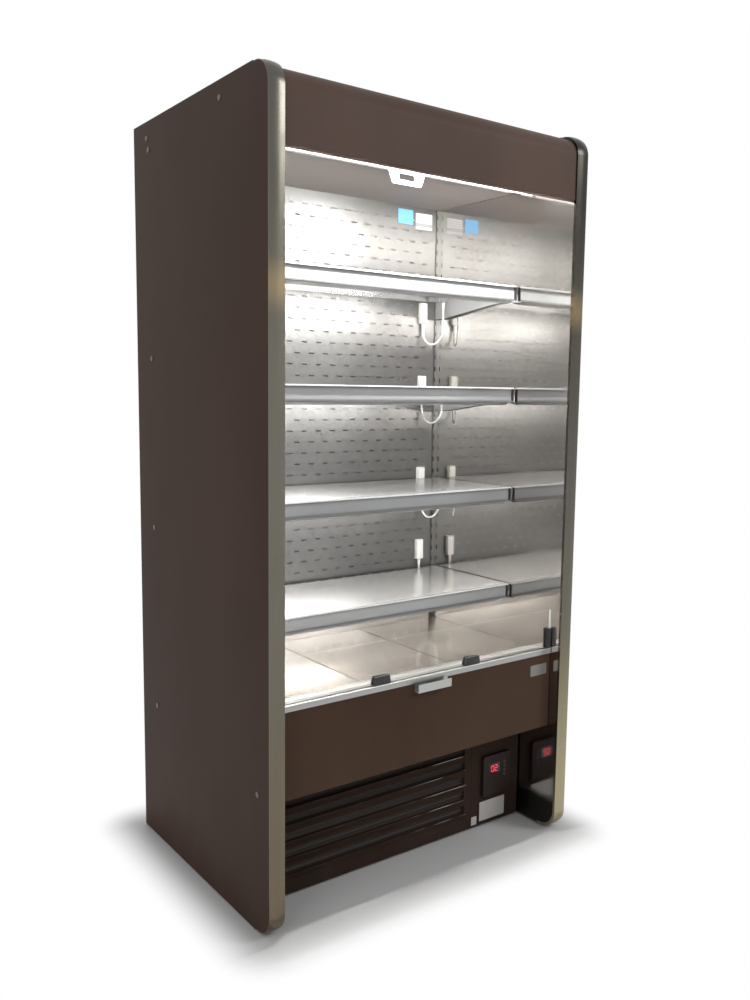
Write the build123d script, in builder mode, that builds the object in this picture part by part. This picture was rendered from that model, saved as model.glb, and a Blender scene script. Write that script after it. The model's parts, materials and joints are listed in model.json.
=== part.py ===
"""Open multideck display fridge: a one-metre chilled cabinet with its cooling plant in the base.

Frame: the origin is on the floor under the middle of the cabinet, +X to its right as a shopper
faces it, +Y to the rear and +Z up. Every size is in millimetres. Names that end in _Y are places
along the depth and names that end in _Z are heights.
"""

import math
import os

from build123d import *

os.makedirs("parts", exist_ok=True)

# ---- overall size ---------------------------------------------------------------------------
WIDTH = 1000.0
DEPTH = 740.0
HEIGHT = 1990.0

FRONT = -DEPTH / 2
BACK = DEPTH / 2

# ---- stock and clearances -------------------------------------------------------------------
SHEET = 1.2  # folded sheet metal
THIN_SHEET = 1.0
BEND_R = 3.0  # outer radius of a fold that shows
THIN_BEND_R = 2.0
PANEL_EDGE = 1.5
SIDE_GAP = 2.0  # between the end panels' inner faces and what fills the space between them
SEAT = 0.3  # between pieces that only rest against each other
RUNNING = 0.05  # radial clearance of a shaft in its hole

# ---- end panels -----------------------------------------------------------------------------
SIDE_T = 40.0  # with both skins
FLOOR_GAP = 4.0  # under the end panels
CORNER_R = 58.0  # front corners
LINER_T = 1.0  # mirror sheet on the inner face
LINER_EDGE = 6.0  # the mirror sheet stops this far inside the panel's outline
TRIM_BED = 4.5  # depth that the edge trim takes off the panel
TRIM_TAIL = 12.0  # the trim runs this far past each rounded corner
TRIM_CROWN = 2.5  # rise of the trim's face over its width
TRIM_LIP = 10.0  # width of the trim's return on the inner face
TRIM_LIP_T = 1.2
CAP_R = 7.5  # cover caps over the panel screws
CAP_H = 2.0
CAP_TAPER = 30.0
CAP_SIDES = 8
# cap places: distance from the front, and height from the floor or (negative) from the top
CAP_PLACES = [(226, -40), (650, -43), (640, -74), (639, -621), (639, 906), (639, 395), (58, 346)]

INNER = WIDTH / 2 - SIDE_T  # half of the clear width between the mirror faces

# ---- insulated body -------------------------------------------------------------------------
FOAM_T = 50.0
REAR_RECESS = 74.0  # the end panels run past the back wall by this much
DUCT_D = 36.0  # air duct behind the perforated panel
TUB_BOTTOM_Z = 318.0
TUB_FRONT_T = 30.0
TUB_FRONT_TOP_Z = 541.2
DRAIN_R = 14.0
DRAIN_X = -150.0
DRAIN_BEHIND = 390.0  # from the nose to the drain
FLOOR_FALL = 2.0  # of the tub's floor towards the drain

WALL_REAR_Y = BACK - REAR_RECESS
WALL_FRONT_Y = WALL_REAR_Y - FOAM_T
PANEL_Y = WALL_FRONT_Y - DUCT_D  # front face of the perforated back panel

# ---- canopy ---------------------------------------------------------------------------------
FASCIA_Y = FRONT + 6
FASCIA_DROP = 10.0  # fascia's top below the end panels' top
FASCIA_H = 170.0
FASCIA_RETURN = 24.0
FASCIA_TOP_R = 52.0  # its top follows the end panels' rounded corners
FASCIA_LAP = 30.0  # lap on the roof
ROOF_NOSE_R = 30.0
FASCIA_HEM = 8.0
CEILING_DROP = 123.0
SOFFIT_FRONT = 24.0  # the soffit's front leg stands this far behind the fascia
GRILLE_D = 56.0  # air curtain outlet, front to back
GRILLE_H = 30.0
GRILLE_WALL = 2.0
GRILLE_RIM = 3.0
GRILLE_FLANGE = 4.0
GRILLE_FLANGE_T = 1.5
VANE_PITCH = 32.0
DUCT_LIP = 4.0  # edge of the ceiling left round the air duct
CANOPY_LAMP_D = 40.0
CANOPY_LAMP_H = 26.0
CANOPY_LAMP_SLOPE = 80.0
CANOPY_LAMP_R = 5.0

FASCIA_TOP_Z = HEIGHT - FASCIA_DROP
FASCIA_BOTTOM_Z = FASCIA_TOP_Z - FASCIA_H
ROOF_TOP_Z = FASCIA_TOP_Z - SHEET
ROOF_BOTTOM_Z = ROOF_TOP_Z - FOAM_T
CEILING_Z = HEIGHT - CEILING_DROP

# ---- nose -----------------------------------------------------------------------------------
NOSE_Y = FRONT + 41
NOSE_TRIM_Y = FRONT + 38
NOSE_TRIM_D = 26.0
NOSE_TRIM_TOP_Z = 553.0
NOSE_TRIM_LEG = 16.0  # height of the trim's front face
NOSE_TRIM_R = 3.0
STRIP_TOP_Z = 550.0  # return-air strip, at the glass
STRIP_REAR_Z = 537.0
DECK_Z = 535.0
DECK_FRONT_Y = FRONT + 133
DECK_PANS = 3
PAN_GAP = 1.5
PAN_H = 22.0
DECK_BACK_GAP = 2.0
RETURN_SLOT_PITCH = 31.0
RETURN_SLOT = (8.5, 7.0)
RETURN_SLOT_BACK = 8.0  # from the strip's rear edge to the slots' middle
RETURN_MARGIN = 20.0
GLASS_T = 6.0
GLASS_TOP_Z = 665.0
GLASS_SEATED = 8.0  # depth in the trim's channel
GLASS_BEHIND_TRIM = 5.0
GLASS_EDGE = 0.8
CLIP_CHEEK = 5.0
CLIP_W = 56.0
CLIP_H = 31.0
CLIP_SLOPE = 80.0
END_CLIP_W = 18.0
END_CLIP_H = 59.0

# ---- night blind ----------------------------------------------------------------------------
BLIND_REST_Y = FRONT + 165  # middle of the bottom bar, rolled up
BLIND_REST_Z = CEILING_Z - 12
BLIND_SLOT_W = 14.0
BAR_D = 8.0
BAR_H = 16.0
BAR_R = 3.0
HANDLE_TOP_W = 116.0
HANDLE_BOTTOM_W = 90.0
HANDLE_H = 32.0
HANDLE_T = 5.0
HANDLE_HOLE_W = 54.0
HANDLE_HOLE_H = 17.0
HANDLE_GRIP_H = 10.0
HANDLE_ROOT = 4.0  # the handle runs this far up into the bar
HANDLE_R = 5.0
TUBE_R = 16.0
ROLL_R = 20.5
ROLL_SIDES = 16
ROLLER_PIN_R = 4.0
ROLLER_ABOVE_SLOT = 25.0
HOUSING_AIR = 3.0  # round the rolled blind
HOUSING_T = 1.5
HOUSING_R = 6.0
SPRING_END_GAP = 4.0  # between the tube and the cassette's ends
FABRIC_T = 0.8
CATCH_W = 112.0
CATCH_H = 23.0
CATCH_BACK_T = 1.5
CATCH_POCKET = 16.0
CATCH_LIP_T = 1.2
CATCH_R = 2.0
CATCH_X = 8.0

# ---- back panel and uprights ----------------------------------------------------------------
UPRIGHT_W = 14.0
UPRIGHT_D = 30.0
UPRIGHT_PROUD = 3.0
UPRIGHT_WALL = 1.5
BRACKET_SLOT_PITCH = 37.0
BRACKET_SLOT = (4.0, 14.0)
SLOTS_A_SHELF = 4  # two that hold the bracket and two over them
AIR_SLOT = (16.0, 4.0)
AIR_SLOT_PITCH = 200.0
AIR_ROW_PITCH = 329.0
AIR_MARGIN_X = 60.0
AIR_MARGIN_Z = 60.0
PANEL_RETURN = 20.0

# ---- shelves --------------------------------------------------------------------------------
SHELF_COUNT = 4
FIRST_SHELF_Z = 712.0
TOP_BAY_MIN = 240.0  # least height left over the top shelf
SHELF_FRONT_Y = FRONT + 215  # face of the ticket rail
SHELF_END_GAP = 6.0
SHELF_BACK_GAP = 18.0  # room for the lamp leads behind a shelf
SHELF_FLANGE = 25.0
BRACKET_T = 2.0
BRACKET_FROM_WALL = 10.5
BRACKET_REAR_H = 78.0
BRACKET_FRONT_H = 44.0
BRACKET_FLANGE = 8.0
BRACKET_FLAT = 41.0  # level stretch of the lower edge, at the rear
BRACKET_SETBACK = 37.0  # behind the ticket rail's face
BRACKET_TIP = 55.0
BRACKET_TIP_FALL = 3.0
NOTCH_W = 5.0
HOOK_DEPTH = 6.0
HOOK_H = 10.0
HOOK_DROP = 14.0  # upper hook's middle below the shelf's top
HOOK_TOOTH = 3.0
HOOK_CLEAR = 0.3
RAIL_H = 43.5
RAIL_D = 7.0
RAIL_LIP = 4.0
RAIL_T = 1.2
LAMP_D = 45.0
LAMP_H = 16.0
LAMP_END_GAP = 20.0
LAMP_BELOW_RAIL = 1.0
LAMP_SETBACK = 2.0
LAMP_LEG_T = 2.0
DUCT_W = 14.0  # wire duct under the shelf
DUCT_H = 8.0

shelf_steps = int((CEILING_Z - FIRST_SHELF_Z - TOP_BAY_MIN) / (SHELF_COUNT - 1) / BRACKET_SLOT_PITCH)
SHELF_TOPS = [FIRST_SHELF_Z + n * shelf_steps * BRACKET_SLOT_PITCH for n in range(SHELF_COUNT)]

# ---- lamp sockets and leads -----------------------------------------------------------------
SOCKET_W = 32.0
SOCKET_H = 66.0
SOCKET_D = 14.0
SOCKET_EDGE = 4.0
SOCKET_TAPER = 6.0
SOCKET_FROM_WALL = 67.0
SOCKET_RISE = [28.0, -30.0, -29.0, -94.0]  # socket's lower end above its shelf's top
LEAD_D = 6.0
LEAD_SIDES = 5
LEAD_BEND_R = 15.0
ARC_SHARE = 0.45  # of the shorter run beside a corner
PLUG_FROM_WALL = 32.0  # connector under the shelf
PLUG_FROM_PANEL = 65.0
PLUG_DROP = 30.0
PLUG_L = 22.0
# each lead's loop: share of the way from socket to connector, and drop below the socket's end
LEAD_LOOPS = [
    [(0, 42), (0.03, 82), (0.20, 116), (0.60, 133), (0.96, 112), (1, 84)],
    [(0, 38), (0.05, 72), (0.36, 101), (0.78, 92), (1.03, 58), (1, 28)],
    [(0, 34), (0.06, 64), (0.38, 90), (0.80, 80), (1.03, 48), (1, 22)],
    [(0, 28), (0.09, 52), (0.42, 70), (0.82, 56), (1.03, 20), (1, -22)],
]

# ---- kick and controls ----------------------------------------------------------------------
KICK_Y = FRONT + 155
KICK_BOTTOM_Z = 8.0
KICK_RETURN = 16.0
KICK_END_GAP = 5.0
CONTROL_W = 188.0  # plate at the right that carries the controls
PLATE_GAP = 1.0
LOUVRE_COUNT = 5
LOUVRE_TOP_Z = 252.0
LOUVRE_H = 21.0
LOUVRE_PITCH = 44.6
LOUVRE_MARGIN = 28.0
SLAT_RISE = 20.0
SLAT_PROUD = 9.0
SLAT_LIP = 2.0
SLAT_T = 1.5
BOX_W = 106.0
BOX_H = 123.0
BOX_Z = 157.5
BOX_PROUD = 11.0
BOX_WALL = 2.0
BOX_CORNER = 4.0
BOX_EDGE = 1.0
BOX_LEDGE = 6.0  # the box covers its opening in the plate by this much
BOX_FROM_END = 97.0  # box's middle to the plate's right end
WINDOW_W = 44.0
WINDOW_H = 30.0
WINDOW_T = 2.0
WINDOW_RIM = 6.0
WINDOW_DX = -10.0
WINDOW_DZ = 19.0
KEY = 9.0
KEY_PITCH = 13.0
KEY_PROUD = 2.0
KEY_FIT = 0.3
KEY_SEATED = 4.0  # depth of a key inside the box
KEY_EDGE = 0.8
KEY_ROWS_UP = 1  # rows above the window's middle
KEYS_DX = 31.0

# ---- base and cooling plant -----------------------------------------------------------------
CHASSIS_Z = 30.0
CHASSIS_T = 2.0
CHASSIS_EDGE = 25.0
CHASSIS_SIDE_GAP = 6.0
CHASSIS_FRONT_Y = KICK_Y + KICK_RETURN
CHASSIS_REAR_Y = BACK - 52
POST = 36.0
POST_T = 2.5
FOOT_R = 23.0
FOOT_H = 9.0
FOOT_SIDES = 10
FOOT_STUD_R = 5.0
FOOT_NUT_H = 7.0
FOOT_NUT_R = 9.0
FOOT_TAPER = 25.0
FOOT_INSET = 42.0  # from the chassis edges

COMPRESSOR_FROM_SIDE = 234.0
COMPRESSOR_FROM_REAR = 228.0
COMPRESSOR_R = 85.0
COMPRESSOR_H = 190.0
COMPRESSOR_FOOT = 12.0
POT_SIDES = 14
POT_LOWER = 18.0  # sloped shoulder at the pot's foot
POT_UPPER = 30.0  # and at its top
POT_SLOPE = 40.0
POT_SEAM = 4.0
POT_PLATE = 140.0
POT_FOOT = 24.0
TERMINAL = 60.0
COIL_FROM_SIDE = 44.0  # condenser coil, end plates included
COIL_W = 340.0
COIL_BEHIND = 19.0
COIL_D = 60.0
COIL_H = 230.0
COIL_FIN_PITCH = 28.0
COIL_END_T = 3.0
COIL_BEND_R = 5.0
COIL_BEND_W = 15.0
COIL_BENDS = 3
COIL_GROOVE = 18.0
SHROUD_D = 40.0
SHROUD_T = 1.5
CONDENSER_FAN_R = 100.0
CONDENSER_HUB_R = 26.0
FAN_TIP_GAP = 4.0
FAN_SHAFT_R = 4.0
FAN_MOTOR_R = 32.0
FAN_MOTOR_L = 60.0
FAN_SPIDER = 12.0  # width of the arms that hold a fan motor
FAN_ARMS = 3
ARM_T = 3.0
ARM_GAP = 3.0
ARM_REACH = 30.0  # from the wall to the motor
ARM_FOOT = 8.0
MOTOR_SIDES = 12
SHAFT_OUT = 2.0
FAN_HUB_H = 24.0
HUB_SIDES = 16
FAN_BLADES = 5
BLADE_T = 1.6
BLADE_ROOT = 3.0  # the blades run this far into the hub
BLADE_PITCH = 27.0
CONDENSER_CHORD = 44.0
EVAP_CHORD = 30.0

PLATE_Y = FRONT + 205  # partition with the evaporator fans
EVAP_FAN_R = 60.0
EVAP_HUB_R = 20.0
EVAP_FAN_X = 230.0
EVAP_MOTOR_R = 22.0
EVAP_MOTOR_L = 36.0
EVAP_FROM_SIDE = 60.0
EVAP_BEHIND_FANS = 105.0
EVAP_TO_REAR = 58.0
EVAP_CLEAR = 6.0
EVAP_GROOVE = 40.0
EVAP_H = 120.0
EVAP_FIN_PITCH = 40.0
FLOOR_Z = TUB_BOTTOM_Z + FOAM_T  # inner floor of the tub

PIPE_R = 6.0
PIPE_SIDES = 5
PIPE_BEND_R = 15.0
PIPE_FROM_SIDE = 30.0
PIPE_HOLE_R = 14.0
TRAY_SIZE = (220.0, 150.0, 40.0)
TRAY_T = 2.0
DRAIN_PIPE_T = 1.5
DRAIN_SIDES = 12
DRAIN_INSERT = 20.0
EBOX_SIZE = (130.0, 90.0, 150.0)
EBOX_R = 6.0
EBOX_BEHIND = 10.0
GLAND_R = 9.0
GLAND_L = 16.0
COVER_SLOT = (60.0, 6.0)
COVER_SLOT_PITCH = (84.0, 40.0)
COVER_SLOT_COUNT = (7, 3)

# ---- places that follow from the sizes above --------------------------------------------------
TRIM_X = (WIDTH - SIDE_T) / 2  # middle of an end panel
CLEAR_HALF = INNER - SIDE_GAP  # half length of what goes between the end panels
TUB_FRONT_Y = NOSE_Y + SHEET
CATCH_TOP_Z = NOSE_TRIM_TOP_Z - NOSE_TRIM_LEG - SEAT
DRAIN_Y = NOSE_Y + DRAIN_BEHIND
SOFFIT_Y = FASCIA_Y + SHEET + SOFFIT_FRONT
LAMP_MIDDLE_Y = FRONT + 90
GRILLE_FRONT_Y = FRONT + 182
GRILLE_HALF = INNER - 30
CANOPY_LAMP_HALF = INNER - 30
BAR_HALF = INNER - 7
FABRIC_HALF = BAR_HALF - 8
ROLLER_Y = BLIND_REST_Y - FABRIC_T / 2 - SEAT - ROLL_R
ROLLER_Z = CEILING_Z + SHEET + ROLLER_ABOVE_SLOT
PANEL_HALF = INNER - UPRIGHT_W
SHELF_HALF = INNER - SHELF_END_GAP
SHELF_Y = SHELF_FRONT_Y + RAIL_D  # face of the shelf's front flange
SHELF_REAR_Y = PANEL_Y - SHELF_BACK_GAP
UPRIGHT_Y = PANEL_Y - UPRIGHT_PROUD
BRACKET_X = INNER - BRACKET_FROM_WALL
KICK_HALF = INNER - KICK_END_GAP
CONTROL_X = KICK_HALF - CONTROL_W  # left edge of the control plate
BOX_X = KICK_HALF - BOX_FROM_END
CHASSIS_HALF = INNER - CHASSIS_SIDE_GAP
LAMP_HALF = SHELF_HALF - LAMP_END_GAP
DECK_REAR_Y = PANEL_Y - DECK_BACK_GAP
SOCKET_X = INNER - SOCKET_FROM_WALL
PLUG_X = INNER - PLUG_FROM_WALL
PLUG_Y = PANEL_Y - PLUG_FROM_PANEL
COMPRESSOR_X = CHASSIS_HALF - COMPRESSOR_FROM_SIDE
COMPRESSOR_Y = CHASSIS_REAR_Y - COMPRESSOR_FROM_REAR
COIL_X = (-CHASSIS_HALF + COIL_FROM_SIDE, -CHASSIS_HALF + COIL_FROM_SIDE + COIL_W)
COIL_Y = (CHASSIS_FRONT_Y + COIL_BEHIND, CHASSIS_FRONT_Y + COIL_BEHIND + COIL_D)
DISCHARGE_X = (COIL_X[1] + COMPRESSOR_X - COMPRESSOR_R) / 2
PIPE_X = INNER - PIPE_FROM_SIDE
PIPE_Y = COMPRESSOR_Y
EVAP_X = INNER - EVAP_FROM_SIDE
EVAP_Y = (PLATE_Y + EVAP_BEHIND_FANS, DECK_REAR_Y - EVAP_TO_REAR)


# ---- shared forms ---------------------------------------------------------------------------
def folded_sheet(points, thickness=SHEET, radius=BEND_R, side=Side.LEFT):
    """Section of a sheet folded along a line of points, drawn in the open sketch."""
    with BuildLine() as run:
        FilletPolyline(*points, radius=radius)
        offset(amount=thickness, side=side)
    make_face(run.line)


def block(x, y, z, mode=Mode.ADD):
    """A box in the open part, from its lowest and highest x, y and z."""
    with Locations(((x[0] + x[1]) / 2, (y[0] + y[1]) / 2, (z[0] + z[1]) / 2)):
        Box(x[1] - x[0], y[1] - y[0], z[1] - z[0], mode=mode)


def write(builder, name):
    """Labels a finished piece and writes it to its own file."""
    builder.part.label = name
    export_step(builder.part, f"parts/{name}.step")


# ---- end panels -----------------------------------------------------------------------------
with BuildPart() as end_panel_left:
    with BuildSketch(Plane.YZ.offset(-WIDTH / 2)):
        with Locations((FRONT + TRIM_BED, FLOOR_GAP + TRIM_BED)):
            Rectangle(DEPTH - TRIM_BED, HEIGHT - FLOOR_GAP - 2 * TRIM_BED, align=Align.MIN)
        fillet(vertices().group_by(Axis.X)[0], radius=CORNER_R - TRIM_BED)
        with Locations((FRONT + CORNER_R + TRIM_TAIL, FLOOR_GAP)):
            Rectangle(DEPTH - CORNER_R - TRIM_TAIL, HEIGHT - FLOOR_GAP, align=Align.MIN)
    extrude(amount=SIDE_T - LINER_T)
    chamfer(edges().filter_by(Axis.Z).group_by(Axis.Y)[-1], length=PANEL_EDGE)
write(end_panel_left, "end_panel_left")

with BuildPart() as end_panel_right:
    add(mirror(end_panel_left.part, about=Plane.YZ, mode=Mode.PRIVATE))
write(end_panel_right, "end_panel_right")

# The trim runs up the front edge and round both corners. Its section, drawn where the run starts
# at the top, has a crowned face and a lip that holds the mirror sheet.
with BuildPart() as end_trims:
    run_start_y = FRONT + CORNER_R + TRIM_TAIL
    with BuildLine(Plane.YZ.offset(-TRIM_X)) as trim_run:
        FilletPolyline(
            (run_start_y, HEIGHT),
            (FRONT, HEIGHT),
            (FRONT, FLOOR_GAP),
            (run_start_y, FLOOR_GAP),
            radius=CORNER_R,
        )
    with BuildSketch(Plane((-TRIM_X, run_start_y, HEIGHT), x_dir=(1, 0, 0), z_dir=(0, -1, 0))):
        outer = -SIDE_T / 2
        lip = SIDE_T / 2 + TRIM_LIP_T
        with BuildLine():
            Polyline(
                (outer, -TRIM_CROWN),
                (outer, -TRIM_BED),
                (SIDE_T / 2, -TRIM_BED),
                (SIDE_T / 2, -TRIM_LIP),
                (lip, -TRIM_LIP),
                (lip, -TRIM_CROWN),
            )
            ThreePointArc((lip, -TRIM_CROWN), ((lip + outer) / 2, 0), (outer, -TRIM_CROWN))
        make_face()
    sweep(path=trim_run.line)
    mirror(about=Plane.YZ)
write(end_trims, "end_trims")

with BuildPart() as mirror_liners:
    with BuildSketch(Plane.YZ.offset(-INNER - LINER_T)):
        with Locations((FRONT + LINER_EDGE, FLOOR_GAP + LINER_EDGE)):
            Rectangle(DEPTH - 2 * LINER_EDGE, HEIGHT - FLOOR_GAP - 2 * LINER_EDGE, align=Align.MIN)
        fillet(vertices().group_by(Axis.X)[0], radius=CORNER_R - LINER_EDGE)
    extrude(amount=LINER_T)
    mirror(about=Plane.YZ)
write(mirror_liners, "mirror_liners")

with BuildPart() as panel_screw_caps:
    with BuildSketch(Plane.YZ.offset(-WIDTH / 2)):
        with Locations([(FRONT + y, z if z > 0 else HEIGHT + z) for y, z in CAP_PLACES]):
            RegularPolygon(CAP_R, CAP_SIDES)
    extrude(amount=-CAP_H, taper=CAP_TAPER)
    mirror(about=Plane.YZ)
write(panel_screw_caps, "panel_screw_caps")

# ---- insulated body -------------------------------------------------------------------------
with BuildPart() as back_wall:
    with BuildSketch(Plane.XY.offset(TUB_BOTTOM_Z)):
        with Locations((0, WALL_FRONT_Y)):
            Rectangle(2 * INNER, FOAM_T, align=(Align.CENTER, Align.MIN))
    extrude(amount=ROOF_BOTTOM_Z - TUB_BOTTOM_Z)
write(back_wall, "back_wall")

with BuildPart() as roof_panel:
    with BuildSketch(Plane.YZ.offset(-INNER)):
        with Locations((SOFFIT_Y, ROOF_BOTTOM_Z)):
            Rectangle(WALL_REAR_Y - SOFFIT_Y, FOAM_T, align=Align.MIN)
        fillet(vertices().group_by(Axis.X)[0].sort_by(Axis.Y)[-1], radius=ROOF_NOSE_R)
        chamfer(vertices().group_by(Axis.X)[-1].sort_by(Axis.Y)[-1], length=PANEL_EDGE)
    extrude(amount=2 * INNER)
write(roof_panel, "roof_panel")

# The tub's floor falls towards the drain from both sides.
with BuildPart() as insulated_base:
    with BuildSketch(Plane.YZ.offset(-INNER)):
        with BuildLine():
            Polyline(
                (TUB_FRONT_Y, TUB_BOTTOM_Z),
                (WALL_FRONT_Y, TUB_BOTTOM_Z),
                (WALL_FRONT_Y, FLOOR_Z),
                (DRAIN_Y, FLOOR_Z - FLOOR_FALL),
                (TUB_FRONT_Y + TUB_FRONT_T, FLOOR_Z),
                (TUB_FRONT_Y + TUB_FRONT_T, TUB_FRONT_TOP_Z),
                (TUB_FRONT_Y, TUB_FRONT_TOP_Z),
                close=True,
            )
        make_face()
    extrude(amount=2 * INNER)
    chamfer(edges().filter_by(Axis.X).group_by(Axis.Y)[0].sort_by(Axis.Z)[0], length=BEND_R)
    with Locations((DRAIN_X, DRAIN_Y, TUB_BOTTOM_Z)):
        Cylinder(DRAIN_R, 2 * FOAM_T, mode=Mode.SUBTRACT)
    with Locations((PIPE_X, PIPE_Y, TUB_BOTTOM_Z)):
        Cylinder(PIPE_HOLE_R, 2 * FOAM_T + FLOOR_FALL, mode=Mode.SUBTRACT)
write(insulated_base, "insulated_base")

# ---- canopy ---------------------------------------------------------------------------------
with BuildPart() as canopy_fascia:
    with BuildSketch(Plane.YZ.offset(-CLEAR_HALF)):
        folded_sheet(
            [
                (FASCIA_Y + FASCIA_TOP_R + FASCIA_LAP, FASCIA_TOP_Z),
                (FASCIA_Y, FASCIA_TOP_Z),
                (FASCIA_Y, FASCIA_BOTTOM_Z),
                (FASCIA_Y + FASCIA_RETURN, FASCIA_BOTTOM_Z),
                (FASCIA_Y + FASCIA_RETURN, FASCIA_BOTTOM_Z + FASCIA_HEM),
            ],
            radius=[FASCIA_TOP_R, BEND_R, BEND_R],
        )
    extrude(amount=2 * CLEAR_HALF)
write(canopy_fascia, "canopy_fascia")

with BuildPart() as canopy_ceiling:
    with BuildSketch(Plane.YZ.offset(-CLEAR_HALF)):
        folded_sheet([(SOFFIT_Y, ROOF_BOTTOM_Z), (SOFFIT_Y, CEILING_Z), (WALL_FRONT_Y, CEILING_Z)])
    extrude(amount=2 * CLEAR_HALF)
    slot_half = BLIND_SLOT_W / 2
    sheet_z = (CEILING_Z - 1, CEILING_Z + SHEET + 1)
    block(
        (-BAR_HALF, BAR_HALF),
        (BLIND_REST_Y - slot_half, BLIND_REST_Y + slot_half),
        sheet_z,
        mode=Mode.SUBTRACT,
    )
    block(
        (-GRILLE_HALF, GRILLE_HALF),
        (GRILLE_FRONT_Y, GRILLE_FRONT_Y + GRILLE_D),
        sheet_z,
        mode=Mode.SUBTRACT,
    )
    # the air duct opens into the canopy over the perforated panel
    block(
        (-GRILLE_HALF, GRILLE_HALF),
        (PANEL_Y + DUCT_LIP, WALL_FRONT_Y - DUCT_LIP),
        sheet_z,
        mode=Mode.SUBTRACT,
    )
write(canopy_ceiling, "canopy_ceiling")

# Cells of the outlet straighten the air curtain, and a flange below the ceiling holds it up.
with BuildPart() as air_curtain_grille:
    grille_middle_y = GRILLE_FRONT_Y + GRILLE_D / 2
    with BuildSketch(Plane.XY.offset(CEILING_Z)):
        with Locations((0, grille_middle_y)):
            Rectangle(2 * (GRILLE_HALF - SEAT), GRILLE_D - 2 * SEAT)
    extrude(amount=GRILLE_H)
    with BuildSketch(Plane.XY.offset(CEILING_Z - GRILLE_FLANGE_T)):
        with Locations((0, grille_middle_y)):
            Rectangle(2 * (GRILLE_HALF + GRILLE_FLANGE), GRILLE_D + 2 * GRILLE_FLANGE)
    extrude(amount=GRILLE_FLANGE_T)
    cell_count = int((2 * GRILLE_HALF - GRILLE_WALL) / VANE_PITCH)
    with BuildSketch(Plane.XY.offset(CEILING_Z - GRILLE_FLANGE_T)):
        with Locations((0, grille_middle_y)):
            with GridLocations(VANE_PITCH, 0, cell_count, 1):
                Rectangle(VANE_PITCH - GRILLE_WALL, GRILLE_D - 2 * GRILLE_RIM)
    extrude(amount=GRILLE_H + GRILLE_FLANGE_T, mode=Mode.SUBTRACT)
write(air_curtain_grille, "air_curtain_grille")

with BuildPart() as canopy_lamp:
    with BuildSketch(Plane.YZ.offset(-CANOPY_LAMP_HALF)):
        with Locations((LAMP_MIDDLE_Y, CEILING_Z)):
            Trapezoid(
                CANOPY_LAMP_D,
                CANOPY_LAMP_H,
                CANOPY_LAMP_SLOPE,
                rotation=180,
                align=(Align.CENTER, Align.MIN),
            )
        fillet(vertices().group_by(Axis.Y)[0], radius=CANOPY_LAMP_R)
    extrude(amount=2 * CANOPY_LAMP_HALF)
write(canopy_lamp, "canopy_lamp")

# ---- night blind ----------------------------------------------------------------------------
# The cassette is closed at its ends, where the roller's pins turn, and open below.
housing_front_y = ROLLER_Y - ROLL_R - HOUSING_AIR
housing_rear_y = BLIND_REST_Y + FABRIC_T / 2 + HOUSING_AIR
with BuildPart() as blind_cassette:
    housing_z = (CEILING_Z + SHEET, ROOF_BOTTOM_Z)
    block(
        (-CLEAR_HALF, CLEAR_HALF),
        (housing_front_y - HOUSING_T, housing_rear_y + HOUSING_T),
        housing_z,
    )
    fillet(edges().filter_by(Axis.X).group_by(Axis.Z)[-1], radius=HOUSING_R)
    block(
        (-BAR_HALF, BAR_HALF),
        (housing_front_y, housing_rear_y),
        (housing_z[0] - 1, housing_z[1] - HOUSING_T),
        mode=Mode.SUBTRACT,
    )
    with BuildSketch(Plane.YZ):
        with Locations((ROLLER_Y, ROLLER_Z)):
            Circle(ROLLER_PIN_R + RUNNING)
    extrude(amount=CLEAR_HALF, both=True, mode=Mode.SUBTRACT)
write(blind_cassette, "blind_cassette")

with BuildPart() as blind_roller:
    for radius, half in ((ROLL_R, FABRIC_HALF), (TUBE_R, BAR_HALF - SPRING_END_GAP)):
        with BuildSketch(Plane.YZ.offset(-half)):
            with Locations((ROLLER_Y, ROLLER_Z)):
                RegularPolygon(radius, ROLL_SIDES)
        extrude(amount=2 * half)
    pin_half = CLEAR_HALF - SEAT
    with BuildSketch(Plane.YZ.offset(-pin_half)):
        with Locations((ROLLER_Y, ROLLER_Z)):
            Circle(ROLLER_PIN_R)
    extrude(amount=2 * pin_half)
write(blind_roller, "blind_roller")

with BuildPart() as blind_fabric:
    block(
        (-FABRIC_HALF, FABRIC_HALF),
        (BLIND_REST_Y - FABRIC_T / 2, BLIND_REST_Y + FABRIC_T / 2),
        (BLIND_REST_Z + BAR_H / 2 + SEAT, ROLLER_Z),
    )
write(blind_fabric, "blind_fabric")

# The handle is a flared loop under the bar, flush with the bar's rear face.
with BuildPart() as blind_bar:
    with BuildSketch(Plane.YZ.offset(-BAR_HALF)):
        with Locations((BLIND_REST_Y, BLIND_REST_Z)):
            RectangleRounded(BAR_D, BAR_H, BAR_R)
    extrude(amount=2 * BAR_HALF)
    bar_bottom_z = BLIND_REST_Z - BAR_H / 2
    with BuildSketch(Plane.XZ.offset(-BLIND_REST_Y - BAR_D / 2)):
        half_top = HANDLE_TOP_W / 2
        half_bottom = HANDLE_BOTTOM_W / 2
        with BuildLine():
            Polyline(
                (-half_top, bar_bottom_z + HANDLE_ROOT),
                (-half_top, bar_bottom_z),
                (-half_bottom, bar_bottom_z - HANDLE_H),
                (half_bottom, bar_bottom_z - HANDLE_H),
                (half_top, bar_bottom_z),
                (half_top, bar_bottom_z + HANDLE_ROOT),
                close=True,
            )
        make_face()
        fillet(vertices().group_by(Axis.Y)[0], radius=HANDLE_R)
        hole_middle_z = bar_bottom_z - HANDLE_H + HANDLE_GRIP_H + HANDLE_HOLE_H / 2
        with Locations((0, hole_middle_z)):
            RectangleRounded(HANDLE_HOLE_W, HANDLE_HOLE_H, HANDLE_R, mode=Mode.SUBTRACT)
    extrude(amount=HANDLE_T)
write(blind_bar, "blind_bar")

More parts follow.
